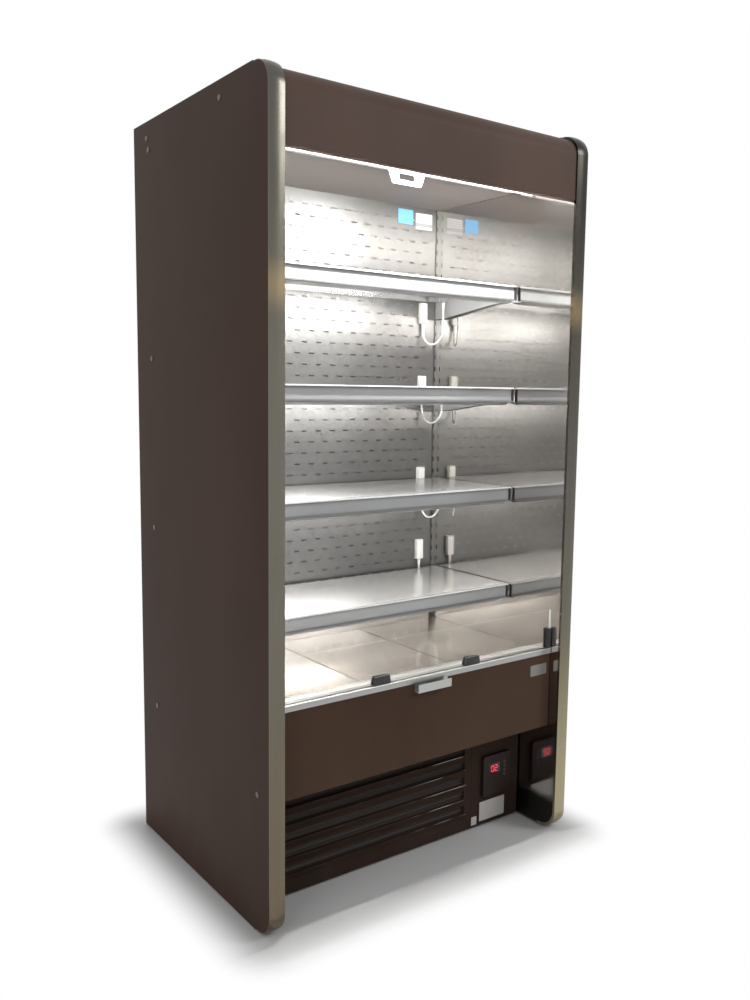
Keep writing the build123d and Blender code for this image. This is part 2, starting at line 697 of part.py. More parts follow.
# The handle drops behind the catch's front lip.
catch_inner_y = NOSE_Y - CATCH_BACK_T - CATCH_POCKET
with BuildPart() as blind_catch:
    with BuildSketch(Plane.YZ.offset(CATCH_X - CATCH_W / 2)):
        with BuildLine():
            Polyline(
                (NOSE_Y, CATCH_TOP_Z),
                (NOSE_Y, CATCH_TOP_Z - CATCH_H),
                (catch_inner_y - CATCH_LIP_T, CATCH_TOP_Z - CATCH_H),
                (catch_inner_y - CATCH_LIP_T, CATCH_TOP_Z),
                (catch_inner_y, CATCH_TOP_Z),
                (catch_inner_y, CATCH_TOP_Z - CATCH_H + CATCH_LIP_T),
                (NOSE_Y - CATCH_BACK_T, CATCH_TOP_Z - CATCH_H + CATCH_LIP_T),
                (NOSE_Y - CATCH_BACK_T, CATCH_TOP_Z),
                close=True,
            )
        make_face()
    extrude(amount=CATCH_W)
    fillet(edges().filter_by(Axis.X).group_by(Axis.Y)[0].group_by(Axis.Z)[0], radius=CATCH_R)
write(blind_catch, "blind_catch")

# ---- back panel and uprights ----------------------------------------------------------------
# A sheet with its long edges folded back into the air duct and staggered rows of air slots.
with BuildPart() as back_panel:
    with BuildSketch(Plane.XY.offset(DECK_Z)):
        folded_sheet(
            [
                (-PANEL_HALF, PANEL_Y + PANEL_RETURN),
                (-PANEL_HALF, PANEL_Y),
                (PANEL_HALF, PANEL_Y),
                (PANEL_HALF, PANEL_Y + PANEL_RETURN),
            ],
            thickness=THIN_SHEET,
            radius=THIN_BEND_R,
        )
    extrude(amount=CEILING_Z - DECK_Z)
    slot_columns = int((2 * PANEL_HALF - AIR_MARGIN_X) / AIR_SLOT_PITCH) + 1
    slot_rows = int((CEILING_Z - DECK_Z - AIR_MARGIN_Z) / AIR_ROW_PITCH) + 1
    slot_middle_z = (DECK_Z + CEILING_Z) / 2
    with BuildSketch(Plane.XZ.offset(-PANEL_Y)):
        for rise, columns in ((0, slot_columns), (AIR_ROW_PITCH / 2, slot_columns - 1)):
            with Locations((0, slot_middle_z + rise - AIR_ROW_PITCH / 4)):
                with GridLocations(AIR_SLOT_PITCH, AIR_ROW_PITCH, columns, slot_rows):
                    Rectangle(*AIR_SLOT)
    extrude(amount=-2 * THIN_SHEET, mode=Mode.SUBTRACT)
write(back_panel, "back_panel")

# Slotted channels, open to the rear, that the shelf brackets hook into.
with BuildPart() as uprights:
    with BuildSketch(Plane.XY.offset(DECK_Z)):
        with Locations((INNER, UPRIGHT_Y)):
            Rectangle(UPRIGHT_W - SEAT, UPRIGHT_D, align=(Align.MAX, Align.MIN))
        with Locations((INNER - UPRIGHT_WALL, UPRIGHT_Y + UPRIGHT_WALL)):
            Rectangle(
                UPRIGHT_W - SEAT - 2 * UPRIGHT_WALL,
                UPRIGHT_D,
                align=(Align.MAX, Align.MIN),
                mode=Mode.SUBTRACT,
            )
    extrude(amount=CEILING_Z - DECK_Z)
    with BuildSketch(Plane.XZ.offset(-UPRIGHT_Y)):
        for top_z in SHELF_TOPS:
            with Locations((BRACKET_X, top_z - HOOK_DROP - BRACKET_SLOT_PITCH)):
                for slot in range(SLOTS_A_SHELF):
                    with Locations((0, slot * BRACKET_SLOT_PITCH)):
                        Rectangle(*BRACKET_SLOT)
    extrude(amount=-2 * UPRIGHT_WALL, mode=Mode.SUBTRACT)
    mirror(about=Plane.YZ)
write(uprights, "uprights")

# ---- shelves --------------------------------------------------------------------------------
# Each shelf is a pressed pan, open below, with notches where the brackets pass its rear flange.
for number, top_z in enumerate(SHELF_TOPS, start=1):
    with BuildPart() as shelf:
        block((-SHELF_HALF, SHELF_HALF), (SHELF_Y, SHELF_REAR_Y), (top_z - SHELF_FLANGE, top_z))
        chamfer(edges().filter_by(Axis.Z), length=BEND_R)
        offset(amount=-SHEET, openings=faces().sort_by(Axis.Z)[0], kind=Kind.INTERSECTION)
        for side in (-1, 1):
            notch_x = sorted((side * (BRACKET_X - NOTCH_W / 2), side * (BRACKET_X + NOTCH_W / 2)))
            block(
                notch_x,
                (SHELF_REAR_Y - 2 * SHEET, SHELF_REAR_Y + 1),
                (top_z - SHELF_FLANGE - 1, top_z - SHEET),
                mode=Mode.SUBTRACT,
            )
    write(shelf, f"shelf_{number}")

# A bracket's upper edge carries the shelf, its lower edge is turned inwards, and two hooks pass
# through the upright's slots and drop behind its wall.
with BuildPart() as shelf_brackets:
    bracket_front_y = SHELF_FRONT_Y + BRACKET_SETBACK
    for top_z in SHELF_TOPS:
        seat_z = top_z - SHEET
        lower_edge = [
            (UPRIGHT_Y, top_z - BRACKET_REAR_H),
            (UPRIGHT_Y - BRACKET_FLAT, top_z - BRACKET_REAR_H),
            (bracket_front_y + BRACKET_TIP, top_z - BRACKET_FRONT_H - BRACKET_TIP_FALL),
            (bracket_front_y, top_z - BRACKET_FRONT_H),
        ]
        with BuildSketch(Plane.YZ.offset(BRACKET_X - BRACKET_T / 2)):
            with BuildLine():
                Polyline((UPRIGHT_Y, seat_z), *lower_edge, (bracket_front_y, seat_z), close=True)
            make_face()
            for slot in range(2):
                hook_z = top_z - HOOK_DROP - slot * BRACKET_SLOT_PITCH
                slot_floor_z = hook_z - BRACKET_SLOT[1] / 2
                with Locations((UPRIGHT_Y, slot_floor_z)):
                    Rectangle(HOOK_DEPTH, HOOK_H, align=Align.MIN)
                with Locations((UPRIGHT_Y + UPRIGHT_WALL + HOOK_CLEAR, slot_floor_z - HOOK_TOOTH)):
                    Rectangle(HOOK_DEPTH - UPRIGHT_WALL - HOOK_CLEAR, HOOK_H, align=Align.MIN)
        extrude(amount=BRACKET_T)
        with BuildSketch(Plane.YZ.offset(BRACKET_X - BRACKET_T / 2 - BRACKET_FLANGE)):
            raised = [(y, z + BRACKET_T) for y, z in reversed(lower_edge)]
            with BuildLine():
                Polyline(*lower_edge, *raised, close=True)
            make_face()
        extrude(amount=BRACKET_FLANGE)
    mirror(about=Plane.YZ)
write(shelf_brackets, "shelf_brackets")

with BuildPart() as ticket_rails:
    for top_z in SHELF_TOPS:
        with BuildSketch(Plane.YZ.offset(-SHELF_HALF)):
            with BuildLine():
                Polyline(
                    (SHELF_Y, top_z),
                    (SHELF_Y, top_z - RAIL_H),
                    (SHELF_FRONT_Y, top_z - RAIL_H),
                    (SHELF_FRONT_Y, top_z - RAIL_H + RAIL_LIP),
                    (SHELF_FRONT_Y + RAIL_T, top_z - RAIL_H + RAIL_LIP),
                    (SHELF_FRONT_Y + RAIL_T, top_z - RAIL_H + RAIL_T),
                    (SHELF_Y - RAIL_T, top_z - RAIL_H + RAIL_T),
                    (SHELF_Y - RAIL_T, top_z - RAIL_T),
                    (SHELF_FRONT_Y + RAIL_T, top_z - RAIL_T),
                    (SHELF_FRONT_Y + RAIL_T, top_z - RAIL_LIP),
                    (SHELF_FRONT_Y, top_z - RAIL_LIP),
                    (SHELF_FRONT_Y, top_z),
                    close=True,
                )
            make_face()
        extrude(amount=2 * SHELF_HALF)
write(ticket_rails, "ticket_rails")

# Each shelf's lamp hangs on a leg behind the front flange. A duct under the shelf takes its wires
# back to a connector.
leg_y = SHELF_Y + SHEET
with BuildPart() as shelf_lamps:
    for top_z in SHELF_TOPS:
        under_z = top_z - SHEET
        lamp_z = top_z - RAIL_H - LAMP_BELOW_RAIL
        with BuildSketch(Plane.YZ.offset(-LAMP_HALF)):
            with BuildLine():
                Polyline(
                    (leg_y, under_z),
                    (leg_y, lamp_z),
                    (SHELF_FRONT_Y + LAMP_SETBACK, lamp_z),
                    (SHELF_FRONT_Y + LAMP_SETBACK, lamp_z - LAMP_H),
                    (SHELF_FRONT_Y + LAMP_SETBACK + LAMP_D, lamp_z - LAMP_H / 2),
                    (SHELF_FRONT_Y + LAMP_SETBACK + LAMP_D, lamp_z),
                    (leg_y + LAMP_LEG_T, lamp_z),
                    (leg_y + LAMP_LEG_T, under_z),
                    close=True,
                )
            make_face()
        extrude(amount=2 * LAMP_HALF)
        duct_x = (PLUG_X - DUCT_W / 2, PLUG_X + DUCT_W / 2)
        block(duct_x, (leg_y, PLUG_Y + PLUG_L / 2), (under_z - DUCT_H, under_z))
        block(duct_x, (PLUG_Y - PLUG_L / 2, PLUG_Y + PLUG_L / 2), (top_z - PLUG_DROP, under_z))
write(shelf_lamps, "shelf_lamps")

# ---- lamp sockets and leads -----------------------------------------------------------------
with BuildPart() as lamp_sockets:
    for top_z, rise in zip(SHELF_TOPS, SOCKET_RISE):
        with BuildSketch(Plane.XZ.offset(-PANEL_Y)):
            with Locations((SOCKET_X, top_z + rise + SOCKET_H / 2)):
                Rectangle(SOCKET_W, SOCKET_H)
                chamfer(vertices(), length=SOCKET_EDGE)
        extrude(amount=SOCKET_D, taper=SOCKET_TAPER)
write(lamp_sockets, "lamp_sockets")


def corner_radii(points):
    """The arc of each corner of a lead's route: a loose bend, or what the corner has room for."""
    radii = []
    for before, corner, after in zip(points, points[1:], points[2:]):
        arriving = Vector(*corner) - Vector(*before)
        leaving = Vector(*after) - Vector(*corner)
        half_turn = math.radians(arriving.get_angle(leaving)) / 2
        room = ARC_SHARE * min(arriving.length, leaving.length) / math.tan(half_turn)
        radii.append(min(room, LEAD_BEND_R))
    return radii


# Each lead drops from its socket, turns in a loose loop and rises to its shelf's connector. The
# loop's points give how far along they lie from socket to connector, and how far below the socket.
for number, (top_z, rise, loop) in enumerate(zip(SHELF_TOPS, SOCKET_RISE, LEAD_LOOPS), start=1):
    socket_z = top_z + rise
    socket_y = PANEL_Y - SOCKET_D / 2
    route_points = [(SOCKET_X, socket_y, socket_z)]
    for share, drop in loop:
        along_x = SOCKET_X + share * (PLUG_X - SOCKET_X)
        along_y = socket_y + share * (PLUG_Y - socket_y)
        route_points.append((along_x, along_y, socket_z - drop))
    route_points.append((PLUG_X, PLUG_Y, top_z - PLUG_DROP))
    bend_radii = corner_radii(route_points)
    with BuildPart() as lamp_lead:
        with BuildLine() as lead_run:
            FilletPolyline(*route_points, radius=bend_radii)
        with BuildSketch(Plane(route_points[0], x_dir=(1, 0, 0), z_dir=(0, 0, -1))):
            RegularPolygon(LEAD_D / 2, LEAD_SIDES)
        sweep(path=lead_run.line)
    write(lamp_lead, f"lamp_lead_{number}")
    lead_length = sum(edge.length for edge in lead_run.edges())
    print(f"lamp_lead_{number}: {lead_length:.0f} mm long, bend radii", [round(r) for r in bend_radii])

# ---- deck and nose --------------------------------------------------------------------------
pan_w = (2 * CLEAR_HALF - (DECK_PANS - 1) * PAN_GAP) / DECK_PANS
with BuildPart() as deck_pans:
    with BuildSketch(Plane.XY.offset(DECK_Z)):
        with Locations((0, (DECK_FRONT_Y + PAN_GAP + DECK_REAR_Y) / 2)):
            with GridLocations(pan_w + PAN_GAP, 0, DECK_PANS, 1):
                Rectangle(pan_w, DECK_REAR_Y - DECK_FRONT_Y - PAN_GAP)
    extrude(amount=-PAN_H)
    with BuildSketch(Plane.XY.offset(DECK_Z - SHEET)):
        with Locations((0, (DECK_FRONT_Y + PAN_GAP + DECK_REAR_Y) / 2)):
            with GridLocations(pan_w + PAN_GAP, 0, DECK_PANS, 1):
                Rectangle(pan_w - 2 * SHEET, DECK_REAR_Y - DECK_FRONT_Y - PAN_GAP - 2 * SHEET)
    extrude(amount=-PAN_H, mode=Mode.SUBTRACT)
write(deck_pans, "deck_pans")

# The strip slopes down to the deck, with a row of slots that take the cold air back.
strip_front_y = NOSE_TRIM_Y + NOSE_TRIM_D + SEAT
with BuildPart() as return_air_grille:
    with BuildSketch(Plane.YZ.offset(-CLEAR_HALF)):
        folded_sheet(
            [
                (strip_front_y, TUB_FRONT_TOP_Z),
                (strip_front_y, STRIP_TOP_Z),
                (DECK_FRONT_Y, STRIP_REAR_Z),
                (DECK_FRONT_Y, DECK_Z - PAN_H),
            ],
            radius=THIN_BEND_R,
            side=Side.RIGHT,
        )
    extrude(amount=2 * CLEAR_HALF)
    return_slots = int((2 * CLEAR_HALF - RETURN_MARGIN) / RETURN_SLOT_PITCH)
    with BuildSketch(Plane.XY.offset(DECK_Z - PAN_H)):
        with Locations((0, DECK_FRONT_Y - RETURN_SLOT_BACK)):
            with GridLocations(RETURN_SLOT_PITCH, 0, return_slots, 1):
                Rectangle(*RETURN_SLOT)
    extrude(amount=STRIP_TOP_Z - DECK_Z + PAN_H, mode=Mode.SUBTRACT)
write(return_air_grille, "return_air_grille")

with BuildPart() as nose_panel:
    with BuildSketch(Plane.YZ.offset(-CLEAR_HALF)):
        folded_sheet(
            [
                (NOSE_Y, TUB_FRONT_TOP_Z - SEAT),
                (NOSE_Y, TUB_BOTTOM_Z - SHEET),
                (KICK_Y + KICK_RETURN, TUB_BOTTOM_Z - SHEET),
            ]
        )
    extrude(amount=2 * CLEAR_HALF)
write(nose_panel, "nose_panel")

# An extrusion on top of the tub's front wall, with a leg over the nose panel's upper edge and a
# channel for the riser glass.
glass_front_y = NOSE_TRIM_Y + GLASS_BEHIND_TRIM
with BuildPart() as nose_trim:
    trim_rear_y = NOSE_TRIM_Y + NOSE_TRIM_D
    leg_inner_y = NOSE_Y - SEAT
    channel_floor_z = NOSE_TRIM_TOP_Z - GLASS_SEATED - SEAT
    with BuildSketch(Plane.YZ.offset(-CLEAR_HALF)):
        with BuildLine():
            Polyline(
                (NOSE_TRIM_Y, NOSE_TRIM_TOP_Z),
                (NOSE_TRIM_Y, NOSE_TRIM_TOP_Z - NOSE_TRIM_LEG),
                (leg_inner_y, NOSE_TRIM_TOP_Z - NOSE_TRIM_LEG),
                (leg_inner_y, TUB_FRONT_TOP_Z),
                (trim_rear_y, TUB_FRONT_TOP_Z),
                (trim_rear_y, NOSE_TRIM_TOP_Z),
                (glass_front_y + GLASS_T + SEAT, NOSE_TRIM_TOP_Z),
                (glass_front_y + GLASS_T + SEAT, channel_floor_z),
                (glass_front_y - SEAT, channel_floor_z),
                (glass_front_y - SEAT, NOSE_TRIM_TOP_Z),
                close=True,
            )
        make_face()
        fillet(vertices().sort_by(Axis.X).group_by(Axis.Y)[-1].sort_by(Axis.X)[0], radius=NOSE_TRIM_R)
    extrude(amount=2 * CLEAR_HALF)
write(nose_trim, "nose_trim")

with BuildPart() as riser_glass:
    block(
        (-CLEAR_HALF, CLEAR_HALF),
        (glass_front_y, glass_front_y + GLASS_T),
        (channel_floor_z + SEAT, GLASS_TOP_Z),
    )
    chamfer(edges().filter_by(Axis.X).group_by(Axis.Z)[-1], length=GLASS_EDGE)
write(riser_glass, "riser_glass")

# Pairs of cheeks that grip the glass just over the trim.
with BuildPart() as riser_clips:
    middle_x = CLEAR_HALF / DECK_PANS
    end_x = CLEAR_HALF - END_CLIP_W / 2 - SEAT
    for cheek_y in (glass_front_y, glass_front_y + GLASS_T + CLIP_CHEEK):
        with BuildSketch(Plane.XZ.offset(-cheek_y)):
            with Locations((-middle_x, NOSE_TRIM_TOP_Z), (middle_x, NOSE_TRIM_TOP_Z)):
                Trapezoid(CLIP_W, CLIP_H, CLIP_SLOPE, align=(Align.CENTER, Align.MIN))
            with Locations((-end_x, NOSE_TRIM_TOP_Z), (end_x, NOSE_TRIM_TOP_Z)):
                Rectangle(END_CLIP_W, END_CLIP_H, align=(Align.CENTER, Align.MIN))
        extrude(amount=CLIP_CHEEK)
write(riser_clips, "riser_clips")

# ---- kick and controls ----------------------------------------------------------------------
# Each louvre's blade starts at the sheet and leans forward up to its opening's lower edge.
kick_top_z = TUB_BOTTOM_Z - SHEET - SEAT
grille_x = (-KICK_HALF, CONTROL_X - PLATE_GAP)
with BuildPart() as kick_grille:
    block(grille_x, (KICK_Y, KICK_Y + KICK_RETURN), (KICK_BOTTOM_Z, kick_top_z))
    offset(amount=-SHEET, openings=faces().sort_by(Axis.Y)[-1])
    for number in range(LOUVRE_COUNT):
        opening_z = LOUVRE_TOP_Z - LOUVRE_H / 2 - number * LOUVRE_PITCH
        opening_x = (grille_x[0] + LOUVRE_MARGIN, grille_x[1] - LOUVRE_MARGIN)
        block(
            opening_x,
            (KICK_Y - 1, KICK_Y + 2 * SHEET),
            (opening_z, opening_z + LOUVRE_H),
            mode=Mode.SUBTRACT,
        )
        with BuildSketch(Plane.YZ.offset(opening_x[0])):
            with BuildLine():
                Polyline(
                    (KICK_Y + SHEET, opening_z - SLAT_RISE),
                    (KICK_Y, opening_z - SLAT_RISE),
                    (KICK_Y - SLAT_PROUD, opening_z - SLAT_LIP),
                    (KICK_Y - SLAT_PROUD, opening_z),
                    (KICK_Y - SLAT_PROUD + SLAT_T, opening_z),
                    close=True,
                )
            make_face()
        extrude(amount=opening_x[1] - opening_x[0])
write(kick_grille, "kick_grille")

box_z = (BOX_Z - BOX_H / 2, BOX_Z + BOX_H / 2)
box_x = (BOX_X - BOX_W / 2, BOX_X + BOX_W / 2)
with BuildPart() as control_panel:
    block((CONTROL_X, KICK_HALF), (KICK_Y, KICK_Y + KICK_RETURN), (KICK_BOTTOM_Z, kick_top_z))
    offset(amount=-SHEET, openings=faces().sort_by(Axis.Y)[-1])
    block(
        (box_x[0] + BOX_LEDGE, box_x[1] - BOX_LEDGE),
        (KICK_Y - 1, KICK_Y + 2 * SHEET),
        (box_z[0] + BOX_LEDGE, box_z[1] - BOX_LEDGE),
        mode=Mode.SUBTRACT,
    )
write(control_panel, "control_panel")

window_x = BOX_X + WINDOW_DX
window_z = BOX_Z + WINDOW_DZ
keys_x = BOX_X + KEYS_DX
key_places = {
    name: (keys_x, window_z + (KEY_ROWS_UP - row) * KEY_PITCH)
    for row, name in enumerate(("key_up", "key_down", "key_set", "key_light"))
}
box_face_y = KICK_Y - BOX_PROUD
with BuildPart() as control_box:
    block(box_x, (box_face_y, KICK_Y), box_z)
    chamfer(edges().filter_by(Axis.Y), length=BOX_CORNER)
    offset(amount=-BOX_WALL, openings=faces().sort_by(Axis.Y)[-1], kind=Kind.INTERSECTION)
    chamfer(faces().sort_by(Axis.Y)[0].edges(), length=BOX_EDGE)
    with BuildSketch(Plane.XZ.offset(-box_face_y)):
        with Locations((window_x, window_z)):
            Rectangle(WINDOW_W + 2 * KEY_FIT, WINDOW_H + 2 * KEY_FIT)
        with Locations(*key_places.values()):
            Rectangle(KEY + 2 * KEY_FIT, KEY + 2 * KEY_FIT)
    extrude(amount=-2 * BOX_WALL, mode=Mode.SUBTRACT)
write(control_box, "control_box")

with BuildPart() as display_window:
    with BuildSketch(Plane.XZ.offset(-box_face_y)):
        with Locations((window_x, window_z)):
            Rectangle(WINDOW_W, WINDOW_H)
    extrude(amount=-BOX_WALL)
    with BuildSketch(Plane.XZ.offset(-box_face_y - BOX_WALL)):
        with Locations((window_x, window_z)):
            Rectangle(WINDOW_W + WINDOW_RIM, WINDOW_H + WINDOW_RIM)
    extrude(amount=-WINDOW_T)
write(display_window, "display_window")

for name, (key_x, key_z) in key_places.items():
    with BuildPart() as key:
        with BuildSketch(Plane.XZ.offset(-box_face_y - KEY_SEATED)):
            with Locations((key_x, key_z)):
                Rectangle(KEY, KEY)
        extrude(amount=KEY_SEATED + KEY_PROUD)
        chamfer(faces().sort_by(Axis.Y)[0].edges(), length=KEY_EDGE)
    write(key, name)


# ---- base -----------------------------------------------------------------------------------
# A folded tray with an angle post in each corner that carries the insulated body.
with BuildPart() as base_frame:
    block(
        (-CHASSIS_HALF, CHASSIS_HALF),
        (CHASSIS_FRONT_Y, CHASSIS_REAR_Y),
        (CHASSIS_Z, CHASSIS_Z + CHASSIS_EDGE),
    )
    offset(amount=-CHASSIS_T, openings=faces().sort_by(Axis.Z)[-1], kind=Kind.INTERSECTION)
    post_x = -CHASSIS_HALF + CHASSIS_T
    with BuildSketch(Plane.XY.offset(CHASSIS_Z + CHASSIS_T)):
        for post_y, along in ((CHASSIS_FRONT_Y + CHASSIS_T, Align.MIN), (WALL_REAR_Y, Align.MAX)):
            with Locations((post_x, post_y)):
                Rectangle(POST, POST_T, align=(Align.MIN, along))
                Rectangle(POST_T, POST, align=(Align.MIN, along))
        mirror(about=Plane.YZ)
    extrude(amount=TUB_BOTTOM_Z - CHASSIS_Z - CHASSIS_T)
write(base_frame, "base_frame")

foot_places = [
    (side * (CHASSIS_HALF - FOOT_INSET), foot_y)
    for side in (-1, 1)
    for foot_y in (CHASSIS_FRONT_Y + FOOT_INSET, CHASSIS_REAR_Y - FOOT_INSET)
]
with BuildPart() as levelling_feet:
    with BuildSketch():
        with Locations(*foot_places):
            RegularPolygon(FOOT_R, FOOT_SIDES)
    extrude(amount=FOOT_H, taper=FOOT_TAPER)
    with BuildSketch():
        with Locations(*foot_places):
            RegularPolygon(FOOT_STUD_R, FOOT_SIDES)
    extrude(amount=CHASSIS_Z)
    with BuildSketch(Plane.XY.offset(CHASSIS_Z)):
        with Locations(*foot_places):
            RegularPolygon(FOOT_NUT_R, 6)
    extrude(amount=-FOOT_NUT_H)
write(levelling_feet, "levelling_feet")

with BuildPart() as rear_cover:
    with BuildSketch(Plane.YZ.offset(-CHASSIS_HALF)):
        folded_sheet(
            [
                (WALL_REAR_Y + SEAT, TUB_BOTTOM_Z),
                (CHASSIS_REAR_Y + SHEET, TUB_BOTTOM_Z),
                (CHASSIS_REAR_Y + SHEET, CHASSIS_Z),
            ],
            side=Side.RIGHT,
        )
    extrude(amount=2 * CHASSIS_HALF)
    with BuildSketch(Plane.XZ.offset(-CHASSIS_REAR_Y)):
        with Locations((0, (CHASSIS_Z + TUB_BOTTOM_Z) / 2)):
            with GridLocations(*COVER_SLOT_PITCH, *COVER_SLOT_COUNT):
                Rectangle(*COVER_SLOT)
    extrude(amount=-2 * SHEET, mode=Mode.SUBTRACT)
write(rear_cover, "rear_cover")


# ---- fans -----------------------------------------------------------------------------------
def fan_station(centre, towards, tip_r, motor_r, motor_l):
    """Arms, motor and shaft of a fan in the open part, on a wall's face at the centre of its hole."""
    wall = Plane(centre, x_dir=(1, 0, 0), z_dir=(0, towards, 0))
    with BuildSketch(wall) as feet:
        with PolarLocations(tip_r + 2 * FAN_TIP_GAP, FAN_ARMS):
            Rectangle(ARM_FOOT, FAN_SPIDER, align=(Align.MIN, Align.CENTER))
    extrude(feet.sketch, amount=ARM_REACH)
    with BuildSketch(wall.offset(ARM_REACH - ARM_T)) as arms:
        RegularPolygon(motor_r, MOTOR_SIDES)
        with PolarLocations(0, FAN_ARMS):
            Rectangle(tip_r + 2 * FAN_TIP_GAP + ARM_FOOT, FAN_SPIDER, align=(Align.MIN, Align.CENTER))
    extrude(arms.sketch, amount=ARM_T)
    with BuildSketch(wall.offset(ARM_REACH)) as motor:
        RegularPolygon(motor_r, MOTOR_SIDES)
    extrude(motor.sketch, amount=motor_l)
    with BuildSketch(wall.offset(ARM_REACH - ARM_T)) as shaft:
        Circle(FAN_SHAFT_R)
    extrude(shaft.sketch, amount=-(ARM_REACH - ARM_T + SHAFT_OUT))


def fan_wheel(tip_r, hub_r, chord):
    """A fan wheel about the Z axis, its hub upwards from z = 0, with flat pitched blades."""
    with BuildPart() as blade:
        across = Plane((hub_r - BLADE_ROOT, 0, FAN_HUB_H / 2), x_dir=(0, 1, 0), z_dir=(1, 0, 0))
        with BuildSketch(across.rotated((0, 0, BLADE_PITCH))):
            Rectangle(chord, BLADE_T)
        extrude(amount=tip_r - hub_r + BLADE_ROOT)
    with BuildPart() as wheel:
        with BuildSketch():
            RegularPolygon(hub_r, HUB_SIDES)
        extrude(amount=FAN_HUB_H)
        with PolarLocations(0, FAN_BLADES):
            add(blade.part)
        with BuildSketch():
            Circle(FAN_SHAFT_R + RUNNING)
        extrude(amount=FAN_HUB_H, mode=Mode.SUBTRACT)
    return wheel.part


def wheel_place(centre, towards):
    """Where a wheel turns: its hub starts just clear of the arms and points at the wall."""
    start_y = centre[1] + towards * (ARM_REACH - ARM_T - ARM_GAP)
    return Location(Plane((centre[0], start_y, centre[2]), x_dir=(1, 0, 0), z_dir=(0, -towards, 0)))


# ---- condensing unit ------------------------------------------------------------------------
deck_top = CHASSIS_Z + CHASSIS_T
pot_z = deck_top + COMPRESSOR_FOOT
with BuildPart() as compressor:
    pot_middle_z = pot_z + COMPRESSOR_H / 2
    for upwards, shoulder in ((1, POT_UPPER), (-1, POT_LOWER)):
        straight = COMPRESSOR_H / 2 - shoulder
        for start, rise, taper in ((0, straight, 0), (straight, shoulder, POT_SLOPE)):
            start_z = pot_middle_z + upwards * start
            with BuildSketch(Plane((COMPRESSOR_X, COMPRESSOR_Y, start_z), z_dir=(0, 0, upwards))):
                RegularPolygon(COMPRESSOR_R, POT_SIDES)
            extrude(amount=rise, taper=taper)
    with BuildSketch(Plane((COMPRESSOR_X, COMPRESSOR_Y, pot_middle_z - POT_SEAM))):
        RegularPolygon(COMPRESSOR_R + POT_SEAM, POT_SIDES)
    extrude(amount=2 * POT_SEAM)
    block(
        (COMPRESSOR_X - POT_PLATE / 2, COMPRESSOR_X + POT_PLATE / 2),
        (COMPRESSOR_Y - POT_PLATE / 2, COMPRESSOR_Y + POT_PLATE / 2),
        (pot_z - CHASSIS_T, pot_z + CHASSIS_T),
    )
    with BuildSketch(Plane.XY.offset(deck_top)):
        with Locations((COMPRESSOR_X, COMPRESSOR_Y)):
            with GridLocations(POT_PLATE - POT_FOOT, POT_PLATE - POT_FOOT, 2, 2):
                RegularPolygon(POT_FOOT / 2, 6)
    extrude(amount=COMPRESSOR_FOOT)
    block(
        (COMPRESSOR_X - TERMINAL / 2, COMPRESSOR_X + TERMINAL / 2),
        (COMPRESSOR_Y + COMPRESSOR_R - POT_SEAM, COMPRESSOR_Y + COMPRESSOR_R + TERMINAL / 2),
        (pot_z + COMPRESSOR_H / 4, pot_z + COMPRESSOR_H / 4 + TERMINAL),
    )
write(compressor, "compressor")

# A pack of plate fins between end plates, with the tubes' return bends outside them.
coil_w = COIL_X[1] - COIL_X[0]
coil_middle = ((COIL_X[0] + COIL_X[1]) / 2, (COIL_Y[0] + COIL_Y[1]) / 2)
with BuildPart() as condenser_coil:
    block(COIL_X, COIL_Y, (deck_top, deck_top + COIL_H))
    with BuildSketch(Plane.XY.offset(deck_top)):
        with Locations(coil_middle):
            fins = int((coil_w - 2 * COIL_END_T) / COIL_FIN_PITCH)
            for face_y in ((COIL_Y[0] - coil_middle[1]), (COIL_Y[1] - coil_middle[1])):
                with Locations((0, face_y)):
                    with GridLocations(COIL_FIN_PITCH, 0, fins, 1):
                        Rectangle(COIL_FIN_PITCH - COIL_END_T, 2 * COIL_GROOVE)
    extrude(amount=COIL_H, mode=Mode.SUBTRACT)
    for bend in range(COIL_BENDS):
        bend_z = deck_top + COIL_H * (bend + 1) / (COIL_BENDS + 1)
        with BuildSketch(Plane.XY.offset(bend_z - COIL_BEND_R)):
            with BuildLine():
                Polyline(
                    (COIL_X[1], coil_middle[1] - COIL_BEND_W),
                    (COIL_X[1] + COIL_BEND_W, coil_middle[1] - COIL_BEND_W / 2),
                    (COIL_X[1] + COIL_BEND_W, coil_middle[1] + COIL_BEND_W / 2),
                    (COIL_X[1], coil_middle[1] + COIL_BEND_W),
                    close=True,
                )
            make_face()
        extrude(amount=2 * COIL_BEND_R)
write(condenser_coil, "condenser_coil")

fan_centre = (coil_middle[0], COIL_Y[1] + SHROUD_D, deck_top + COIL_H / 2)
with BuildPart() as condenser_fan_mount:
    block(COIL_X, (COIL_Y[1], fan_centre[1]), (deck_top, deck_top + COIL_H))
    offset(amount=-SHROUD_T, openings=faces().sort_by(Axis.Y)[0], kind=Kind.INTERSECTION)
    with BuildSketch(Plane(fan_centre, x_dir=(1, 0, 0), z_dir=(0, 1, 0))):
        Circle(CONDENSER_FAN_R + FAN_TIP_GAP)
    extrude(amount=-2 * SHROUD_T, mode=Mode.SUBTRACT)
    fan_station(fan_centre, 1, CONDENSER_FAN_R, FAN_MOTOR_R, FAN_MOTOR_L)
write(condenser_fan_mount, "condenser_fan_mount")

condenser_wheel = fan_wheel(CONDENSER_FAN_R, CONDENSER_HUB_R, CONDENSER_CHORD)
with BuildPart() as condenser_fan:
    add(wheel_place(fan_centre, 1) * condenser_wheel)
write(condenser_fan, "condenser_fan")

